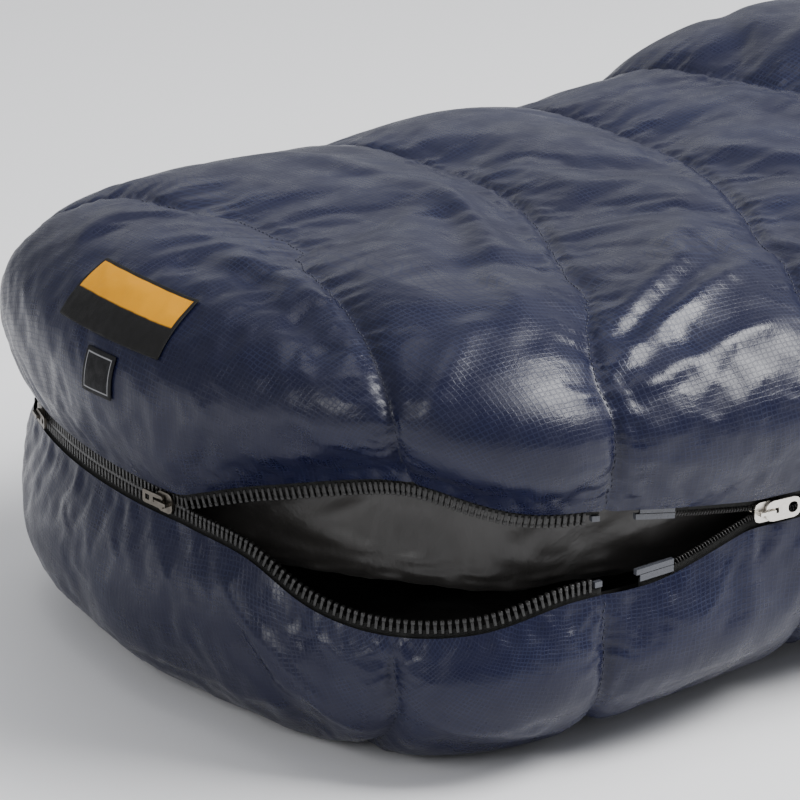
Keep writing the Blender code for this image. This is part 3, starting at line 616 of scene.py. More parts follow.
RIPSTOP = ripstop_fabric("navy_ripstop", (0.0072, 0.0082, 0.0260), (0.0125, 0.0165, 0.046), 0.28)
LINING = plain_fabric("black_lining", (0.0150, 0.0140, 0.0135), (0.026, 0.024, 0.022), 0.42)
TAPE_WEAVE = woven_tape("black_zip_tape", (0.0035, 0.0035, 0.0032), (0.010, 0.010, 0.009))
TEETH = moulded_plastic("black_teeth", (0.0045, 0.0042, 0.0040), (0.010, 0.0095, 0.0085), 0.34)
COIL = moulded_plastic("black_coil", (0.0090, 0.0085, 0.0080), (0.020, 0.018, 0.016), 0.36)
FILM = moulded_plastic("grey_film", (0.050, 0.052, 0.062), (0.085, 0.090, 0.105), 0.30)
NICKEL = cast_metal("satin_nickel", (0.66, 0.63, 0.58), (0.40, 0.37, 0.33), 0.26)
GUNMETAL = cast_metal("gunmetal", (0.15, 0.135, 0.115), (0.06, 0.055, 0.05), 0.36)
THREAD = plain_fabric("navy_thread", (0.010, 0.011, 0.026), (0.024, 0.027, 0.052), 0.6)


# ---------------------------------------------------------------- making fabric pieces

def new_object(name, vertices, faces, material, smooth_shading=True):
    mesh = bpy.data.meshes.new(name)
    mesh.from_pydata([tuple(v) for v in vertices], [], [tuple(f) for f in faces])
    mesh.materials.append(material)
    if smooth_shading:
        mesh.shade_smooth()
    mesh.update()
    made = bpy.data.objects.new(name, mesh)
    bpy.context.scene.collection.objects.link(made)
    return made


def coordinates_of(mesh):
    values = np.empty(len(mesh.vertices) * 3, np.float32)
    mesh.vertices.foreach_get("co", values)
    return values.reshape(-1, 3).astype(float)


def set_coordinates(mesh, values):
    mesh.vertices.foreach_set("co", np.asarray(values, np.float32).ravel())
    mesh.update()


def normals_of(mesh):
    values = np.empty(len(mesh.vertices) * 3, np.float32)
    mesh.vertices.foreach_get("normal", values)
    return values.reshape(-1, 3).astype(float)


def lift(mesh, height):
    """Moves each point along its normal."""
    set_coordinates(mesh, coordinates_of(mesh) + normals_of(mesh) * height[:, None])


def face_along(piece, directions):
    """Flips the piece's faces if they look against the directions."""
    if (normals_of(piece.data) * directions).sum(1).mean() < 0:
        piece.data.flip_normals()


def set_cloth(mesh, plan):
    """Stores the fabric's own flat coordinates, which its weave follows."""
    layer = mesh.attributes.new("cloth", "FLOAT_VECTOR", "POINT")
    flat = np.zeros((len(plan), 3), np.float32)
    flat[:, :plan.shape[1]] = plan
    layer.data.foreach_set("vector", flat.ravel())


def cloth_of(mesh):
    values = np.empty(len(mesh.vertices) * 3, np.float32)
    mesh.attributes["cloth"].data.foreach_get("vector", values)
    return values.reshape(-1, 3)[:, :2].astype(float)


def subdivided(piece):
    """Applies a subdivision surface, and keeps the fabric's own coordinates."""
    modifier = piece.modifiers.new("subdivision", "SUBSURF")
    modifier.levels = modifier.render_levels = 1
    graph = bpy.context.evaluated_depsgraph_get()
    mesh = bpy.data.meshes.new_from_object(piece.evaluated_get(graph), preserve_all_data_layers=True,
                                           depsgraph=graph)
    piece.modifiers.clear()
    old = piece.data
    piece.data = mesh
    bpy.data.meshes.remove(old)


def inflate(piece, pinned):
    """Cloth simulation: the fabric is a little larger than its pinned seams, and air presses it out."""
    before = coordinates_of(piece.data)
    group = piece.vertex_groups.new(name="pinned")
    group.add([int(index) for index in pinned], 1.0, "REPLACE")
    modifier = piece.modifiers.new("cloth", "CLOTH")
    settings = modifier.settings
    settings.quality = 4
    settings.mass = 0.20
    settings.tension_stiffness = 22.0
    settings.compression_stiffness = 22.0
    settings.shear_stiffness = 8.0
    settings.bending_stiffness = 0.08
    settings.shrink_min = -CLOTH_SLACK
    settings.use_pressure = True
    settings.uniform_pressure_force = CLOTH_PRESSURE
    settings.vertex_group_mass = "pinned"
    settings.effector_weights.gravity = 0.0
    modifier.collision_settings.use_collision = False
    modifier.point_cache.frame_start = 1
    modifier.point_cache.frame_end = CLOTH_FRAMES
    scene = bpy.context.scene
    for number in range(1, CLOTH_FRAMES + 1):
        scene.frame_set(number)
    graph = bpy.context.evaluated_depsgraph_get()
    after = coordinates_of(piece.evaluated_get(graph).data)
    piece.modifiers.clear()
    piece.vertex_groups.clear()
    scene.frame_set(1)
    move = after - before
    length = np.linalg.norm(move, axis=1, keepdims=True)
    move *= np.tanh(length / CLOTH_CAP) * CLOTH_CAP / np.maximum(length, 1e-9)
    set_coordinates(piece.data, before + move)


CLOTH_SLACK, CLOTH_PRESSURE, CLOTH_CAP, CLOTH_FRAMES = 0.013, 3.0, 0.0045, 12
FAR = 0.2                   # distance given to points that are nowhere near a seam


def distances(points, lines, reach=0.13):
    """Distance of each point to each line of points, and how far along the line that is."""
    near = np.full((len(lines), len(points)), FAR)
    along = np.zeros((len(lines), len(points)))
    for number, line in enumerate(lines):
        length = lengths_along(line)
        direction = np.gradient(line, axis=0)
        direction /= np.linalg.norm(direction, axis=1, keepdims=True)
        low, high = line.min(0) - reach, line.max(0) + reach
        close = np.nonzero(((points > low) & (points < high)).all(1))[0]
        found = nearest(tree_of(line), points[close])
        offset = points[close] - line[found]
        past = (offset * direction[found]).sum(1)
        inside = (found > 0) & (found < len(line) - 1)
        gap_squared = (offset ** 2).sum(1) - np.where(inside, past ** 2, 0.0)
        near[number, close] = np.sqrt(np.maximum(0.0, gap_squared))
        along[number, close] = length[found] + past
    return near, along


def wave(value, seed):
    """A smooth random wave of about unit height and unit wavelength."""
    rng = np.random.default_rng(seed)
    total = np.zeros_like(value)
    for frequency in (0.61, 0.87, 1.13, 1.49):
        total += np.sin(2 * math.pi * (value * frequency + rng.uniform()))
    return total / 2.6


def puff(gap_near, gap_next):
    """From 0 at a seam to 1 in the middle of a chamber."""
    across = clamp(2 * gap_near / np.maximum(gap_near + gap_next, 1e-6))
    across = np.minimum(across, clamp(gap_near / 0.058))
    return np.sqrt(1 - (1 - across) ** 2)


SEAM_DEPTH = 0.0040
PUFF_HEIGHT = 0.0072
HEM_REACH = 0.012
CROWN = 0.004
# How far the settled top lies above its plain form, at distances from the foot
TOP_RISE = ((0.0, 0.002), (0.08, -0.004), (0.13, -0.009), (0.20, -0.011), (0.26, -0.013), (0.31, -0.016),
            (0.37, -0.021), (0.41, -0.019), (0.45, -0.008), (0.49, -0.001), (0.56, 0.004), (0.80, 0.006),
            (1.20, 0.0), (BAG_LENGTH, 0.0))
TUCK = 0.034                # how far the near side of the lower half draws in under the bag


def rise_of_top(points):
    x, y = points[..., 0], points[..., 1]
    half_width = FOOT_WIDTH / 2 + math.tan(SLOPE) * x
    crown = CROWN * np.maximum(0.0, 1 - (y / half_width) ** 2)
    settled = np.interp(x, *np.transpose(TOP_RISE))
    return crown * (1 - smooth((x - 1.2) / 0.7)) + settled


def settled(half, points, outward):
    """The bag's form as it lies: the top settled between its seams, the near side tucked under."""
    moved = points.copy()
    rim = rim_height(points[:, 0])
    level = smooth(np.abs(points[:, 2] - rim) / rim)
    if half == TOP:
        moved[:, 2] += rise_of_top(points) * level
        return moved
    x = points[:, 0]
    reach = TUCK * smooth((x - 0.13) / 0.18) * (1 - smooth((x - 0.55) / 0.6)) * smooth(-points[:, 1] / 0.08)
    moved[:, :2] -= outward * (reach * level)[:, None]
    return moved


def shell_spacing(point):
    """Distance between a shell's points: fine at the foot, coarser along the body."""
    return 0.0058 + 0.0105 * float(smooth((point[0] - 0.58) / 0.35))


FOLD = JOINTS["top_half_fold"]
FOLD_GAP = 0.0009           # space left to the fold's plane, where the other half lies when the bag is open
FOLD_EASE = 0.007           # depth in which the far wall is pressed flatter


def behind_fold(points):
    """Presses the far wall behind the fold's upright plane, so that the halves can lie side by side."""
    outward = np.cross(FOLD["axis"], (0.0, 0.0, 1.0))
    outward *= np.sign(outward[1]) / np.linalg.norm(outward)
    beyond = (points - np.array(FOLD["pos_m"])) @ outward
    room = FOLD_EASE - FOLD_GAP
    pressed = -FOLD_EASE + room * np.tanh((beyond + FOLD_EASE) / room)
    return points + outward * np.where(beyond > -FOLD_EASE, pressed - beyond, 0.0)[:, None]


def shell(name, half, seams, seed):
    """One half's outer fabric, puffed between its seams, over the mouth's hem and down to its zip."""
    plan, faces, seam_lines, rim = unrolled_mesh(half, shell_spacing, seams)
    base, normal, rolled = bag_surface(half, plan)
    lines = [plan[line] for line in seam_lines]
    gaps, _ = distances(plan, lines)
    order = np.sort(gaps, axis=0)
    _, out = beside_edge(plan)
    rim_gap = np.maximum(0.0, WALL - out)
    mouth_gap = np.abs(BAG_LENGTH - 0.004 - plan[:, 0])
    across = puff(np.minimum(order[0], mouth_gap), np.minimum(order[1], np.maximum(mouth_gap, 0.03)))
    fade = smooth(rim_gap / 0.035)
    swell = 1 + 0.25 * wave(plan[:, 0] * 9, seed) * wave(plan[:, 1] * 7, seed + 1)
    offset = (-SEAM_DEPTH + PUFF_HEIGHT * across * swell) * fade
    if half == BOTTOM:
        offset = np.where(normal[:, 2] < -0.5, np.minimum(offset, 0.0006), offset)
    offset *= 1 - smooth(rolled / 0.02)
    outward = edge(edge_coordinates(base[:, :2])[0])[1]
    points = settled(half, base, outward) + normal * offset[:, None]
    turn = math.pi * clamp(rolled / MOUTH_ROLL)
    points -= normal * (LOFT / 2 * (1 - np.cos(turn)))[:, None]
    points[:, 0] += HEM_REACH * np.sin(turn)
    points[:, 2] = np.maximum(points[:, 2], 0.0004)
    piece = new_object(name, to_world(points), faces, RIPSTOP)
    face_along(piece, normal)
    set_cloth(piece.data, plan)
    hem = np.nonzero(plan[:, 0] > BAG_LENGTH - 0.006)[0]
    under = np.nonzero((normal[:, 2] < -0.9) & (out < -0.06))[0] if half == BOTTOM else []
    pinned = sorted({*rim, *hem, *(i for line in seam_lines for i in line), *under})
    inflate(piece, pinned)
    subdivided(piece)
    crease(piece, half, [TOES, *seams], seed + 20)
    pucker(piece, lines, seed)
    floor = coordinates_of(piece.data)
    floor[:, 2] = np.maximum(floor[:, 2], 0.0003)
    set_coordinates(piece.data, behind_fold(floor))
    return piece, lines


# A guide is a seam, or this line over the toes. Creases are drawn between one guide and the next
TOES = (0.060, [(0.010, -0.055), (0.008, 0.0), (0.010, 0.055)], -0.060)
# half, first guide, shares of the way to the next guide, shares of the guides' length, height, width
FOLDS = [
    (TOP, 0, (0.75, 0.45), (0.22, 0.36), -0.0024, 0.008),
    (TOP, 0, (0.90, 0.60), (0.30, 0.46), 0.0022, 0.007),
    (TOP, 0, (0.65, 0.35), (0.36, 0.52), -0.0020, 0.009),
    (TOP, 0, (0.95, 0.30), (0.60, 0.72), 0.0020, 0.009),
    (TOP, 1, (0.60, 0.75), (0.18, 0.62), 0.0024, 0.007),
    (TOP, 1, (0.80, 0.55), (0.25, 0.75), 0.0024, 0.009),
    (TOP, 1, (0.40, 0.65), (0.20, 0.50), -0.0024, 0.011),
    (TOP, 1, (0.15, 0.50), (0.12, 0.24), 0.0022, 0.007),
    (TOP, 2, (0.05, 0.70), (0.20, 0.34), 0.0026, 0.007),
    (TOP, 2, (0.05, 0.80), (0.17, 0.26), 0.0026, 0.006),
    (TOP, 2, (0.05, 0.85), (0.14, 0.18), 0.0026, 0.006),
    (TOP, 2, (0.10, 0.75), (0.19, 0.30), -0.0024, 0.007),
    (TOP, 3, (0.10, 0.80), (0.16, 0.30), 0.0026, 0.008),
    (TOP, 3, (0.10, 0.60), (0.55, 0.40), 0.0022, 0.009),
    (BOTTOM, 0, (0.10, 0.55), (0.04, 0.14), 0.0020, 0.006),
    (BOTTOM, 0, (0.20, 0.75), (0.10, 0.22), -0.0026, 0.009),
    (BOTTOM, 0, (0.30, 0.85), (0.06, 0.16), 0.0024, 0.006),
    (BOTTOM, 1, (0.15, 0.75), (0.10, 0.13), 0.0022, 0.006),
    (BOTTOM, 1, (0.20, 0.80), (0.15, 0.17), -0.0022, 0.007),
]
FINE = 0.002                # distance between the points of a crease


def further_folds(half, guides, seed):
    """Creases over the long row of chambers past the knee, two ridges and a groove in each."""
    rng = np.random.default_rng(seed)
    folds = []
    for guide in range(4, len(guides) - 1):
        for height in (0.0024, 0.0022, -0.0022):
            start = rng.uniform(0.12, 0.70)
            between = (rng.uniform(0.08, 0.30), rng.uniform(0.60, 0.92))
            folds.append((half, guide, between, (start, start + rng.uniform(-0.05, 0.16)), height, 0.010))
    return folds


def fold_line(half, guides, first, between, along):
    """A crease between two guides, which may run slantwise from one to the other."""
    along, between = np.linspace(*along, 7), np.linspace(*between, 7)[:, None]
    sides = []
    for near_u, middle, far_u in guides[first:first + 2]:
        guide = seam_plan(half, near_u, middle, far_u, lambda point: FINE)
        numbers = np.arange(len(guide))
        sides.append(between_points(along * numbers[-1], numbers, guide))
    return curve_through(sides[0] * (1 - between) + sides[1] * between, lambda point: FINE)


def crease(piece, half, guides, seed):
    """The long folds that run over a half: ridges and grooves that fade at their ends."""
    mesh = piece.data
    plan = cloth_of(mesh)
    height = np.zeros(len(plan))
    for fold_half, first, between, along, tall, wide in FOLDS + further_folds(half, guides, seed):
        if fold_half != half:
            continue
        line = fold_line(half, guides, first, between, along)
        gap, place_on = distances(plan, [line], 4 * wide)
        length = np.linalg.norm(np.diff(line, axis=0), axis=1).sum()
        ends = np.minimum(place_on[0], length - place_on[0]) + wide
        height += tall * smooth(ends / (0.25 * length)) * np.exp(-(gap[0] / wide) ** 2)
    lift(mesh, height)


SEAM_GATHER, RIM_GATHER = 0.0006, 0.0007
STITCH_DIP, DIP_WIDTH = 0.0011, 0.0022


def pucker(piece, lines, seed):
    """Small gathers that run away from each seam and from the rim."""
    mesh = piece.data
    plan = cloth_of(mesh)
    gaps, along = distances(plan, lines)
    seam = gaps.argmin(0)
    pick = np.arange(len(plan))
    gap, place = gaps[seam, pick], along[seam, pick]
    reach = 0.010 + 0.014 * (0.5 + 0.5 * wave(place / 0.05 + seam * 3.1, seed + 2))
    gather = wave(place / 0.013 + seam * 7.7 + 0.35 * wave(gap / 0.03, seed + 3), seed + 4)
    gather = gather * smooth(gap / 0.004) * np.exp(-(gap / np.maximum(reach, 0.004)) ** 1.3)
    u, out = beside_edge(plan)
    rim_gap = np.maximum(0.0, WALL - out)
    rim_reach = 0.012 + 0.016 * (0.5 + 0.5 * wave(u / 0.06, seed + 5))
    rim_gather = wave(u / 0.015 + 0.3 * wave(rim_gap / 0.03, seed + 6), seed + 7)
    rim_gather = rim_gather * smooth(rim_gap / 0.006) * np.exp(-(rim_gap / rim_reach) ** 1.3)
    stitched = -STITCH_DIP * np.exp(-(gap / DIP_WIDTH) ** 2)
    height = SEAM_GATHER * gather + RIM_GATHER * rim_gather + stitched
    lift(mesh, height * smooth((BAG_LENGTH - plan[:, 0]) / 0.02))


def attach(piece, half, slot, *nodes):
    """The piece rides on its half's body and stands for the CAD nodes, which it hides. The slot is not
    used.
    """
    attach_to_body(piece, "top_half" if half == TOP else "lower_half")
    if nodes:
        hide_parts(*nodes)


# ---------------------------------------------------------------- strips along the zip

ROW_HEIGHT = 0.0026
ROW_PART = 0.0007
TAPE = 0.0008
TEETH_PITCH = 0.0031
COIL_PITCH = 0.0015
FILM_LENGTH = 0.018
BARE_TAPE = 0.004
DRAFT_TUBE_MARGIN = 0.020
CLEARANCE = 0.0003
MOUTH_U = float(side_length(BAG_LENGTH - MOUTH_MARGIN))


def place(half, u, out, rise, follow=1.0):
    """World points beside the edge; the parted zip carries them along by `follow`."""
    u = np.asarray(u, float)
    plan, outward = edge(u)
    part_rise, part_out = parting(half, u)
    flat = plan + outward * (out + part_out * follow)[..., None]
    height = rim_height(plan[..., 0]) + half * (rise + part_rise * follow)
    return to_world(np.concatenate([flat, height[..., None]], -1))


def stations(start, end, fine=0.0025, coarse=0.03):
    """Lengths along the edge, close together around the foot and far apart on the straight side."""
    bend = 0.36
    near = np.arange(start, min(end, bend), fine)
    far = np.arange(bend, end - coarse / 2, coarse) if end > bend else np.array([])
    return np.concatenate([near, far, [end]])


def grid_faces(rows, columns, closed):
    """Faces of a grid; a closed one is a tube with its ends capped."""
    faces = []
    for row in range(rows - 1):
        for column in range(columns if closed else columns - 1):
            after = (column + 1) % columns
            faces.append((row * columns + column, row * columns + after,
                          (row + 1) * columns + after, (row + 1) * columns + column))
    if closed:
        faces.append(tuple(range(columns)))
        faces.append(tuple((rows - 1) * columns + column for column in reversed(range(columns))))
    return faces


def outwards(piece):
    """Turns a closed piece's faces outwards."""
    shape = bmesh.new()
    shape.from_mesh(piece.data)
    bmesh.ops.recalc_face_normals(shape, faces=shape.faces)
    shape.to_mesh(piece.data)
    shape.free()
    piece.data.update()
    return piece


def swept(name, half, lengths, ring, material):
    """A closed strip: ring is a list of (out, rise, follow) points around its section."""
    ring = np.array(ring)
    points = np.stack([place(half, lengths, np.full(len(lengths), out), np.full(len(lengths), rise), follow)
                       for out, rise, follow in ring], 1)
    rows, columns = points.shape[:2]
    faces = grid_faces(rows, columns, True)
    piece = outwards(new_object(name, points.reshape(-1, 3), faces, material))
    around = lengths_along(ring[:, :2])
    cloth = np.stack([np.repeat(lengths, columns), np.tile(around, rows)], -1)
    set_cloth(piece.data, cloth)
    return piece


def rectangle(out_low, out_high, rise_low, rise_high, corner=0.00015):
    """A section with slightly rounded corners."""
    ring = []
    for out, rise, turn in ((out_low, rise_low, 180), (out_high, rise_low, 270),
                            (out_high, rise_high, 0), (out_low, rise_high, 90)):
        centre = (out + (corner if out == out_low else -corner),
                  rise + (corner if rise == rise_low else -corner))
        for angle in (turn + 10, turn + 80):
            around = math.radians(angle)
            ring.append((centre[0] + corner * math.cos(around), centre[1] + corner * math.sin(around), 1.0))
    return ring


def closed_curve(knots, count):
    """Points of a smooth closed curve through knots."""
    knots = np.array(knots)
    places = np.linspace(0, len(knots), count, endpoint=False)
    index = places.astype(int)
    share = (places - index)[:, None]
    before, start = knots[index - 1], knots[index]
    end, after = knots[(index + 1) % len(knots)], knots[(index + 2) % len(knots)]
    return catmull_rom(before, start, end, after, share)


def draft_tube(name, start, end, seed):
    """The padded roll behind the zip: it hangs under the top half's rim."""
    top_gap = TAPE_SHOWING - 0.0012
    knots = [(-0.0078, top_gap, 1.0), (-0.0100, 0.0005, 0.9), (-0.0126, -0.0070, 0.8),
             (-0.0160, -0.0160, 0.5), (-0.0182, -0.0225, 0.35), (-0.0212, -0.0266, 0.3),
             (-0.0262, -0.0240, 0.35),
             (-0.0292, -0.0115, 0.6), (-0.0258, -0.0010, 0.9), (-0.0136, top_gap, 1.0)]
    ring = closed_curve(knots, 36)
    lengths = stations(start, end, 0.004, 0.016)
    piece = swept(name, TOP, lengths, ring, SATIN)
    along = np.repeat(lengths, len(ring))
    around = np.tile(np.arange(len(ring)) / len(ring), len(lengths))
    soft = 0.0009 * wave(along / 0.055 + 2.0 * wave(around * 2, seed), seed + 1)
    soft += 0.0004 * wave(along / 0.018 + 3 * around, seed + 2)
    soft *= smooth((along - start) / 0.01) * smooth((end - along) / 0.01)
    lift(piece.data, soft)
    subdivided(piece)
    attach(piece, TOP, "lining", "foot_draft_tube", "side_draft_tube")


def tape(name, half, start, end, node):
    """Zip tape: a thin woven strip of even thickness."""
    low = ROW_PART + ROW_HEIGHT + CLEARANCE
    ring = rectangle(-TAPE / 2, TAPE / 2, low, TAPE_TOP)
    piece = swept(name, half, stations(start, end), ring, TAPE_WEAVE)
    attach(piece, half, "zip_tape", node)


def tooth_template():
    """One moulded tooth as (vertices, faces): along the zip, outwards, away from the zip plane."""
    shape = bmesh.new()
    for low, high, rounding in (((-0.00072, -0.00118, 0.0010), (0.00072, 0.00118, 0.0052), 0.00025),
                                ((-0.00098, -0.00110, -0.0008), (0.00098, 0.00110, 0.0013), 0.00042)):
        made = bmesh.ops.create_cube(shape, size=1.0)["verts"]
        bmesh.ops.scale(shape, vec=[b - a for a, b in zip(low, high)], verts=made)
        bmesh.ops.translate(shape, vec=[(a + b) / 2 for a, b in zip(low, high)], verts=made)
        edges = list({edge for vert in made for edge in vert.link_edges})
        bmesh.ops.bevel(shape, geom=edges, offset=rounding, segments=2, affect="EDGES", profile=0.5)
    shape.verts.ensure_lookup_table()
    vertices = np.array([vert.co for vert in shape.verts])
    faces = [tuple(vert.index for vert in face.verts) for face in shape.faces]
    shape.free()
    return vertices, faces


def zip_axes(half, u):
    """(places, along, outward, away) of the row at lengths u."""
    zero = np.zeros(len(u))
    at = place(half, u, zero, zero)
    along = place(half, u + 0.001, zero, zero) - place(half, u - 0.001, zero, zero)
    along /= np.linalg.norm(along, axis=1, keepdims=True)
    _, outward = edge(u)
    outward = np.concatenate([outward, zero[:, None]], 1)
    outward -= along * (outward * along).sum(1, keepdims=True)
    outward /= np.linalg.norm(outward, axis=1, keepdims=True)
    away = np.cross(along, outward)
    away *= np.where(away[:, 2] * half > 0, 1.0, -1.0)[:, None]
    return at, along, outward, away


def teeth(name, half, start, end, node):
    """A row of moulded teeth; the other half's row stands half a pitch along."""
    vertices, faces = tooth_template()
    first = start + (TEETH_PITCH / 2 if half == TOP else 0.0) + 0.001
    u = np.arange(first, end - 0.001, TEETH_PITCH)
    at, along, outward, away = zip_axes(half, u)
    points = (at[:, None] + vertices[None, :, :1] * along[:, None]
              + vertices[None, :, 1:2] * outward[:, None] + vertices[None, :, 2:] * away[:, None])
    count = len(vertices)
    all_faces = [tuple(number * count + index for index in face)
                 for number in range(len(u)) for face in faces]
    piece = outwards(new_object(name, points.reshape(-1, 3), all_faces, TEETH))
    attach(piece, half, "zip_teeth", node)


def tube_along(name, path, radius, sides, material):
    """A tube around a path of points."""
    along = np.gradient(path, axis=0)
    along /= np.linalg.norm(along, axis=1, keepdims=True)
    across = np.cross(along, np.array([0.0, 0.0, 1.0]) + 0.3 * along[:, [1, 2, 0]])
    across /= np.linalg.norm(across, axis=1, keepdims=True)
    up = np.cross(across, along)
    angles = np.arange(sides) / sides * 2 * math.pi
    points = (path[:, None] + radius * (np.cos(angles)[None, :, None] * across[:, None]
                                        + np.sin(angles)[None, :, None] * up[:, None]))
    return outwards(new_object(name, points.reshape(-1, 3), grid_faces(len(path), sides, True), material))


def coil(name, half, start, end, node):
    """A nylon coil wound along the tape's edge."""
    steps = 6
    u = np.arange(start, end, COIL_PITCH / steps)
    turn = (u - start) / COIL_PITCH * 2 * math.pi + (math.pi if half == TOP else 0.0)
    at, _, outward, away = zip_axes(half, u)
    centre = ROW_PART + 0.0018
    path = (at + outward * (0.00082 * np.cos(turn))[:, None]
            + away * (centre + 0.00140 * np.sin(turn))[:, None])
    piece = tube_along(name, path, 0.00034, 5, COIL)
    attach(piece, half, "zip_coil", node)


STITCH = 0.0021
STITCH_PITCH = 0.0033
THREAD_RADIUS = 0.00030


def stitching(name, half, piece, lines):
    """A row of short threads along each seam of a finished shell."""
    plan = cloth_of(piece.data)
    surface, facing = coordinates_of(piece.data), normals_of(piece.data)
    tree = tree_of(plan)
    ring = ((1, 0), (0, 1), (-1, 0), (0, -1))
    tube = grid_faces(4, 4, True)
    vertices, faces = [], []
    for seam in lines:
        on_seam = nearest(tree, seam)
        path, normals = surface[on_seam], facing[on_seam]
        step = lengths_along(path)
        for start in np.arange(STITCH_PITCH, step[-1] - STITCH_PITCH, STITCH_PITCH):
            places = start + np.array([0, 0.25, 0.75, 1]) * STITCH
            line = between_points(places, step, path)
            normal = between_points(start, step, normals)
            normal /= np.linalg.norm(normal) + 1e-9
            line += normal * (np.array([-0.6, 0.9, 0.9, -0.6]) * THREAD_RADIUS)[:, None]
            side = np.cross(line[-1] - line[0], normal)
            side /= np.linalg.norm(side) + 1e-9
            first = len(vertices)
            for point in line:
                for across, up in ring:
                    vertices.append(point + THREAD_RADIUS * (side * across + normal * up * 0.8))
            faces += [tuple(first + index for index in face) for face in tube]
    attach(outwards(new_object(name, vertices, faces, THREAD)), half, "ripstop_shell")


# ---------------------------------------------------------------- lining

def lining_depth(rim_gap):
    return 0.0062 + 0.0395 * smooth(rim_gap / 0.050)


def lining(name, half, node, seed):
    """The inside of one half: it follows the shell a loft's depth inside it, with soft creases."""
    plan, faces, _, _ = unrolled_mesh(half, lambda point: 2.0 * shell_spacing(point), [])
    base, normal, _ = bag_surface(half, plan)
    _, out = beside_edge(plan)
    rim_gap = np.maximum(0.0, WALL - out)
    depth = lining_depth(rim_gap)
    creases = 0.0022 * wave(plan[:, 0] * 16 + 0.6 * wave(plan[:, 1] * 9, seed), seed + 1)
    creases += 0.0014 * wave(plan[:, 1] * 22 + 0.5 * wave(plan[:, 0] * 11, seed + 2), seed + 3)
    depth = depth - creases * smooth(rim_gap / 0.03)
    depth = depth * (1 - 0.35 * smooth((plan[:, 0] - BAG_LENGTH + 0.05) / 0.05))
    inner = base - normal * depth[:, None]
    inner[:, 0] = np.minimum(inner[:, 0], BAG_LENGTH + 0.004)
    keep_inside(inner)
    piece = new_object(name, to_world(inner), faces, LINING)
    face_along(piece, -normal)
    set_cloth(piece.data, plan)
    subdivided(piece)
    attach(piece, half, "lining", node)


def keep_inside(points):
    """Pulls the lining's points back into the bag's middle where a tight corner turned them out."""
    plan = points[:, :2].copy()
    plan[:, 0] = np.minimum(plan[:, 0], BAG_LENGTH)
    u, out = edge_coordinates(plan)
    _, outward = edge(u)
    over = np.maximum(0.0, out + 0.0052)
    points[:, :2] -= outward * over[:, None]


# ---------------------------------------------------------------- label and tag

def on_wall(u, rise, along):
    """Plan points on the top half's wall, `along` further up the cloth than `rise`."""
    shares = np.linspace(0, 1, 400)
    profile_out, profile_rise = wall_profile(TOP, np.full(len(shares), u), shares)
    length = np.concatenate([[0], np.cumsum(np.hypot(np.diff(profile_out), np.diff(profile_rise)))])
    centre = np.interp(rise, profile_rise, length)
    share = np.interp(centre + along, length, shares)
    reach = float(rounding(TOP, u))
    return np.array([at_edge(u, WALL - value * (WALL + reach)) for value in share])


def sewn_patch(name, shell_piece, centre, size, counts, stiffness, material, node, slot_name):
    """A patch of cloth on the top shell: it lies on the finished shell and bridges its small creases."""
    columns, rows = counts
    tree = BVHTree.FromObject(shell_piece, bpy.context.evaluated_depsgraph_get())
    offsets_u = np.linspace(-0.5, 0.5, columns) * size[0]
    offsets_v = np.linspace(-0.5, 0.5, rows) * size[1]
    plan = np.stack([on_wall(centre[0] + step, centre[1], offsets_v) for step in offsets_u], 1)
    base, normal, _ = bag_surface(TOP, plan.reshape(-1, 2))
    start = to_world(base + normal * 0.04)
    reach = np.zeros(len(start))
    for index in range(len(start)):
        hit = tree.ray_cast(Vector(start[index]), Vector(-normal[index]))
        reach[index] = 0.04 - (hit[3] if hit[0] else 0.04)
    reach = reach.reshape(rows, columns)
    calm = reach.copy()
    for _ in range(stiffness):
        wide = np.pad(calm, 1, mode="edge")
        calm = (wide[:-2, 1:-1] + wide[2:, 1:-1] + wide[1:-1, :-2] + wide[1:-1, 2:] + 2 * calm) / 6
    height = np.maximum(calm, reach) + 0.0004
    points = to_world(base) + normal * height.reshape(-1, 1)
    piece = new_object(name, points, grid_faces(rows, columns, False), material)
    face_along(piece, normal)
    flat = np.stack(np.meshgrid(offsets_u, offsets_v), -1).reshape(-1, 2)
    set_cloth(piece.data, flat)
    solid = piece.modifiers.new("thickness", "SOLIDIFY")
    solid.thickness = 0.0008
    solid.offset = 1.0
    subdivided(piece)
    attach(piece, TOP, slot_name, node)


def border_distance(tree, x, y, size, margin_x, margin_y):
    """How far inside a patch's border a point is."""
    to_side = maths(tree, "SUBTRACT", size[0] / 2 - margin_x, maths(tree, "ABSOLUTE", x))
    to_end = maths(tree, "SUBTRACT", size[1] / 2 - margin_y, maths(tree, "ABSOLUTE", y))
    return maths(tree, "MINIMUM", to_side, to_end)


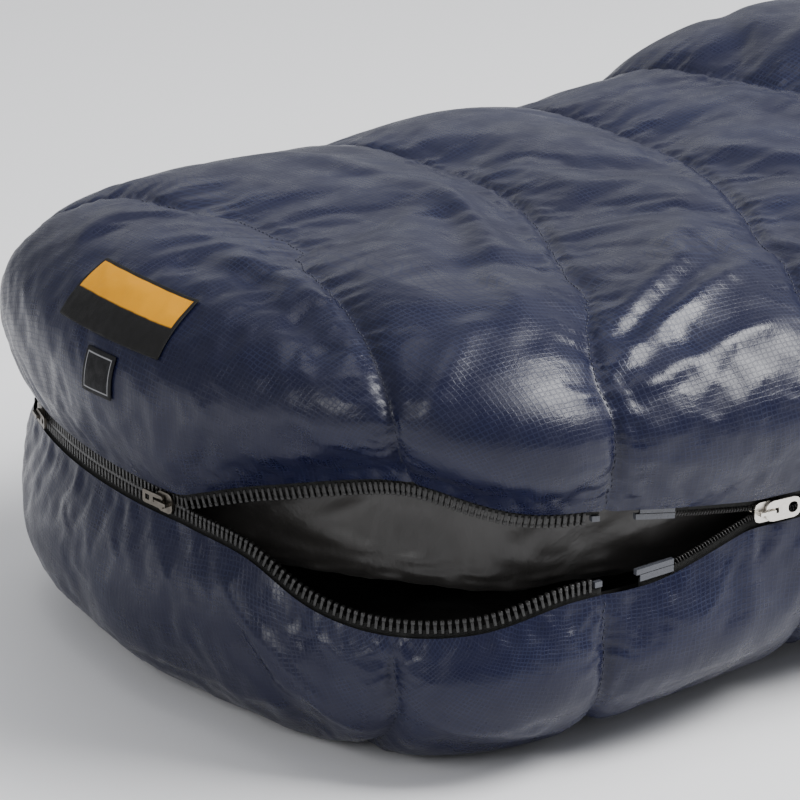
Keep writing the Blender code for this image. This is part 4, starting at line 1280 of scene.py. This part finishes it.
def label_material(size):
    """A woven label: an ochre field over a dark band, with a dark border."""
    made, tree, shader = new_material("woven_label", (0.8, 0.42, 0.02), 0.6)
    place_on = cloth_coordinates(tree)
    x, y, _ = split(tree, place_on)
    threads = stripes(tree, y, 0.00035, 0.5)
    cross = stripes(tree, x, 0.00030, 0.5)
    wander = maths(tree, "MULTIPLY", maths(tree, "SUBTRACT", noise(tree, place_on, 60.0), 0.5), 0.0012)
    band = ramp(tree, maths(tree, "ADD", y, wander), -0.0018, -0.0008)
    field = mixed(tree, threads, (0.66, 0.27, 0.002), (0.78, 0.36, 0.005))
    dark = mixed(tree, cross, (0.005, 0.005, 0.005), (0.014, 0.013, 0.012))
    face = mixed(tree, band, dark, field)
    inside = ramp(tree, border_distance(tree, x, y, size, 0.0022, 0.0020), -0.0002, 0.0002)
    link(tree, mixed(tree, inside, dark, face), shader.inputs["Base Color"])
    uneven_gloss(tree, shader, place_on, 150.0, 0.45, 0.7)
    weave = maths(tree, "ADD", threads, maths(tree, "MULTIPLY", cross, 0.6))
    link(tree, bump(tree, weave, 0.5, 0.0001), shader.inputs["Normal"])
    shader.inputs["Specular IOR Level"].default_value = 0.20
    return made


def tag_material(size):
    """A folded tape tag: dark cloth with a pale thread near its edge."""
    made, tree, shader = new_material("woven_tag", (0.012, 0.012, 0.012), 0.65)
    place_on = cloth_coordinates(tree)
    x, y, _ = split(tree, place_on)
    ribs = stripes(tree, x, 0.0005, 0.5)
    gap = maths(tree, "ABSOLUTE", border_distance(tree, x, y, size, 0.0022, 0.0022))
    line = maths(tree, "SUBTRACT", 1.0, ramp(tree, gap, 0.00018, 0.00038))
    cloth = mixed(tree, ribs, (0.005, 0.005, 0.006), (0.013, 0.013, 0.014))
    link(tree, mixed(tree, line, cloth, (0.22, 0.22, 0.23)), shader.inputs["Base Color"])
    uneven_gloss(tree, shader, place_on, 200.0, 0.5, 0.75)
    link(tree, bump(tree, ribs, 0.5, 0.00012), shader.inputs["Normal"])
    shader.inputs["Specular IOR Level"].default_value = 0.20
    return made


def repaint(node, material):
    """Gives a CAD node a new material."""
    mesh = frame["nodes"][node].data
    mesh.materials.clear()
    mesh.materials.append(material)


SATIN = plain_fabric("satin_draft_tube", (0.017, 0.0155, 0.0145), (0.026, 0.024, 0.022), 0.38, 0.0005)


# ---------------------------------------------------------------- view and light

CAMERA_PLACE = (-0.87211, -1.39038, 0.72100)
CAMERA_AZIMUTH, CAMERA_ELEVATION = math.radians(-35.55), math.radians(21.38)
LENS = 172.5
OFF_AXIS = (0.0117391, 0.0341217)   # tangents right and up from that direction to the middle of the view


def camera_at(position, azimuth, elevation, off_axis, lens):
    """A camera at the fitted place. It looks at the middle of the view, so it needs no shift."""
    back = Vector((math.sin(azimuth) * math.cos(elevation), -math.cos(azimuth) * math.cos(elevation),
                   math.sin(elevation)))
    right = Vector((math.cos(azimuth), math.sin(azimuth), 0.0))
    up = back.cross(right)
    view = -back + right * off_axis[0] + up * off_axis[1]
    data = bpy.data.cameras.new("camera")
    data.lens = lens
    data.clip_start = 0.05
    made = bpy.data.objects.new("camera", data)
    made.location = Vector(position) + Vector(SHIFT)
    made.rotation_euler = view.to_track_quat("-Z", "Y").to_euler()
    bpy.context.scene.collection.objects.link(made)
    bpy.context.scene.camera = made


def area_light(name, place, target, size, power, colour=(1.0, 1.0, 1.0)):
    data = bpy.data.lights.new(name, "AREA")
    data.shape = "RECTANGLE"
    data.size, data.size_y = size
    data.energy = power
    data.color = colour
    made = bpy.data.objects.new(name, data)
    made.location = place
    made.rotation_euler = (Vector(target) - Vector(place)).to_track_quat("-Z", "Y").to_euler()
    bpy.context.scene.collection.objects.link(made)


def studio():
    world = bpy.data.worlds.new("studio")
    world.use_nodes = True
    background = world.node_tree.nodes["Background"]
    background.inputs["Color"].default_value = (0.93, 0.95, 1.0, 1.0)
    background.inputs["Strength"].default_value = 0.43
    bpy.context.scene.world = world
    foot = Vector((SHIFT[0] + 0.15, -0.05, 0.12))
    area_light("key_softbox", foot + Vector((1.25, -0.85, 1.75)), foot, (1.5, 1.1), 115)
    area_light("back_window", foot + Vector((1.3, 2.3, 1.0)), foot, (2.6, 0.9), 3)
    area_light("left_window", foot + Vector((-1.9, -0.3, 1.1)), foot, (0.5, 1.2), 16)
    area_light("top_softbox", foot + Vector((-0.1, 0.5, 2.3)), foot, (1.4, 1.0), 9)
    floor_material, tree, shader = new_material("pale_floor", (0.86, 0.86, 0.87), 0.55)
    place = object_coordinates(tree)
    link(tree, mixed(tree, noise(tree, place, 3.0), (0.85, 0.85, 0.86), (0.88, 0.88, 0.89)),
         shader.inputs["Base Color"])
    shape = bmesh.new()
    bmesh.ops.create_grid(shape, x_segments=4, y_segments=4, size=9.0)
    mesh = bpy.data.meshes.new("floor")
    shape.to_mesh(mesh)
    shape.free()
    mesh.materials.append(floor_material)
    floor = bpy.data.objects.new("floor", mesh)
    bpy.context.scene.collection.objects.link(floor)


camera_at(CAMERA_PLACE, CAMERA_AZIMUTH, CAMERA_ELEVATION, OFF_AXIS, LENS)
studio()


SOFT_NODES = ("shell", "mouth_panel", "foot_fill", "shin_fill", "calf_fill", "knee_fill", "body_fill",
              "ankle_baffle", "calf_baffle", "knee_baffle", "thigh_baffle")
shells = {}
for half, label, body, seams in ((TOP, "top", "top_half", TOP_SEAMS), (BOTTOM, "bottom", "lower_half",
                                                                       BOTTOM_SEAMS)):
    piece, lines = shell(f"{label}_padded_shell", half, seams + later_seams(), 11 + 30 * (half == BOTTOM))
    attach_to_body(piece, body)
    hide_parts(*(f"{label}_{node}" for node in SOFT_NODES))
    shells[half] = piece
    stitching(f"{label}_seam_stitches", half, piece, lines)
    lining(f"{label}_soft_liner", half, f"{label}_liner", 71 + half)
    side = "upper" if half == TOP else "lower"
    tape(f"woven_foot_tape_{side}", half, *FOOT_ZIP, f"foot_tape_{side}")
    tape(f"woven_side_tape_{side}", half, SIDE_ZIP_START, MOUTH_U, f"side_tape_{side}")
    teeth(f"moulded_teeth_{side}", half, FOOT_ZIP[0] + BARE_TAPE, FOOT_ZIP[1] - BARE_TAPE,
          f"foot_teeth_{side}")
    coil(f"nylon_coil_{side}", half, SIDE_ZIP_START + FILM_LENGTH, MOUTH_U - BARE_TAPE, f"side_coil_{side}")
    for node in ("side_pin", "side_film", "foot_stop"):
        repaint(f"{node}_{side}", FILM)

draft_tube("soft_draft_tube", FOOT_ZIP[0] + DRAFT_TUBE_MARGIN, MOUTH_U, 91)
LABEL_SIZE, TAG_SIZE = (0.080, 0.030), (0.022, 0.018)
sewn_patch("woven_label", shells[TOP], (-0.003, 0.081), LABEL_SIZE, (49, 19), 60,
           label_material(LABEL_SIZE), "label_patch", "label_cloth")
sewn_patch("woven_tag", shells[TOP], (-0.001, 0.0575), TAG_SIZE, (15, 13), 30, tag_material(TAG_SIZE),
           "loop_tag", "tag_cloth")
for label, metal in (("side_foot_end", NICKEL), ("side_head_end", NICKEL), ("foot_near", GUNMETAL),
                     ("foot_far", GUNMETAL)):
    repaint(f"{label}_slider", metal)
    repaint(f"{label}_pull", metal)
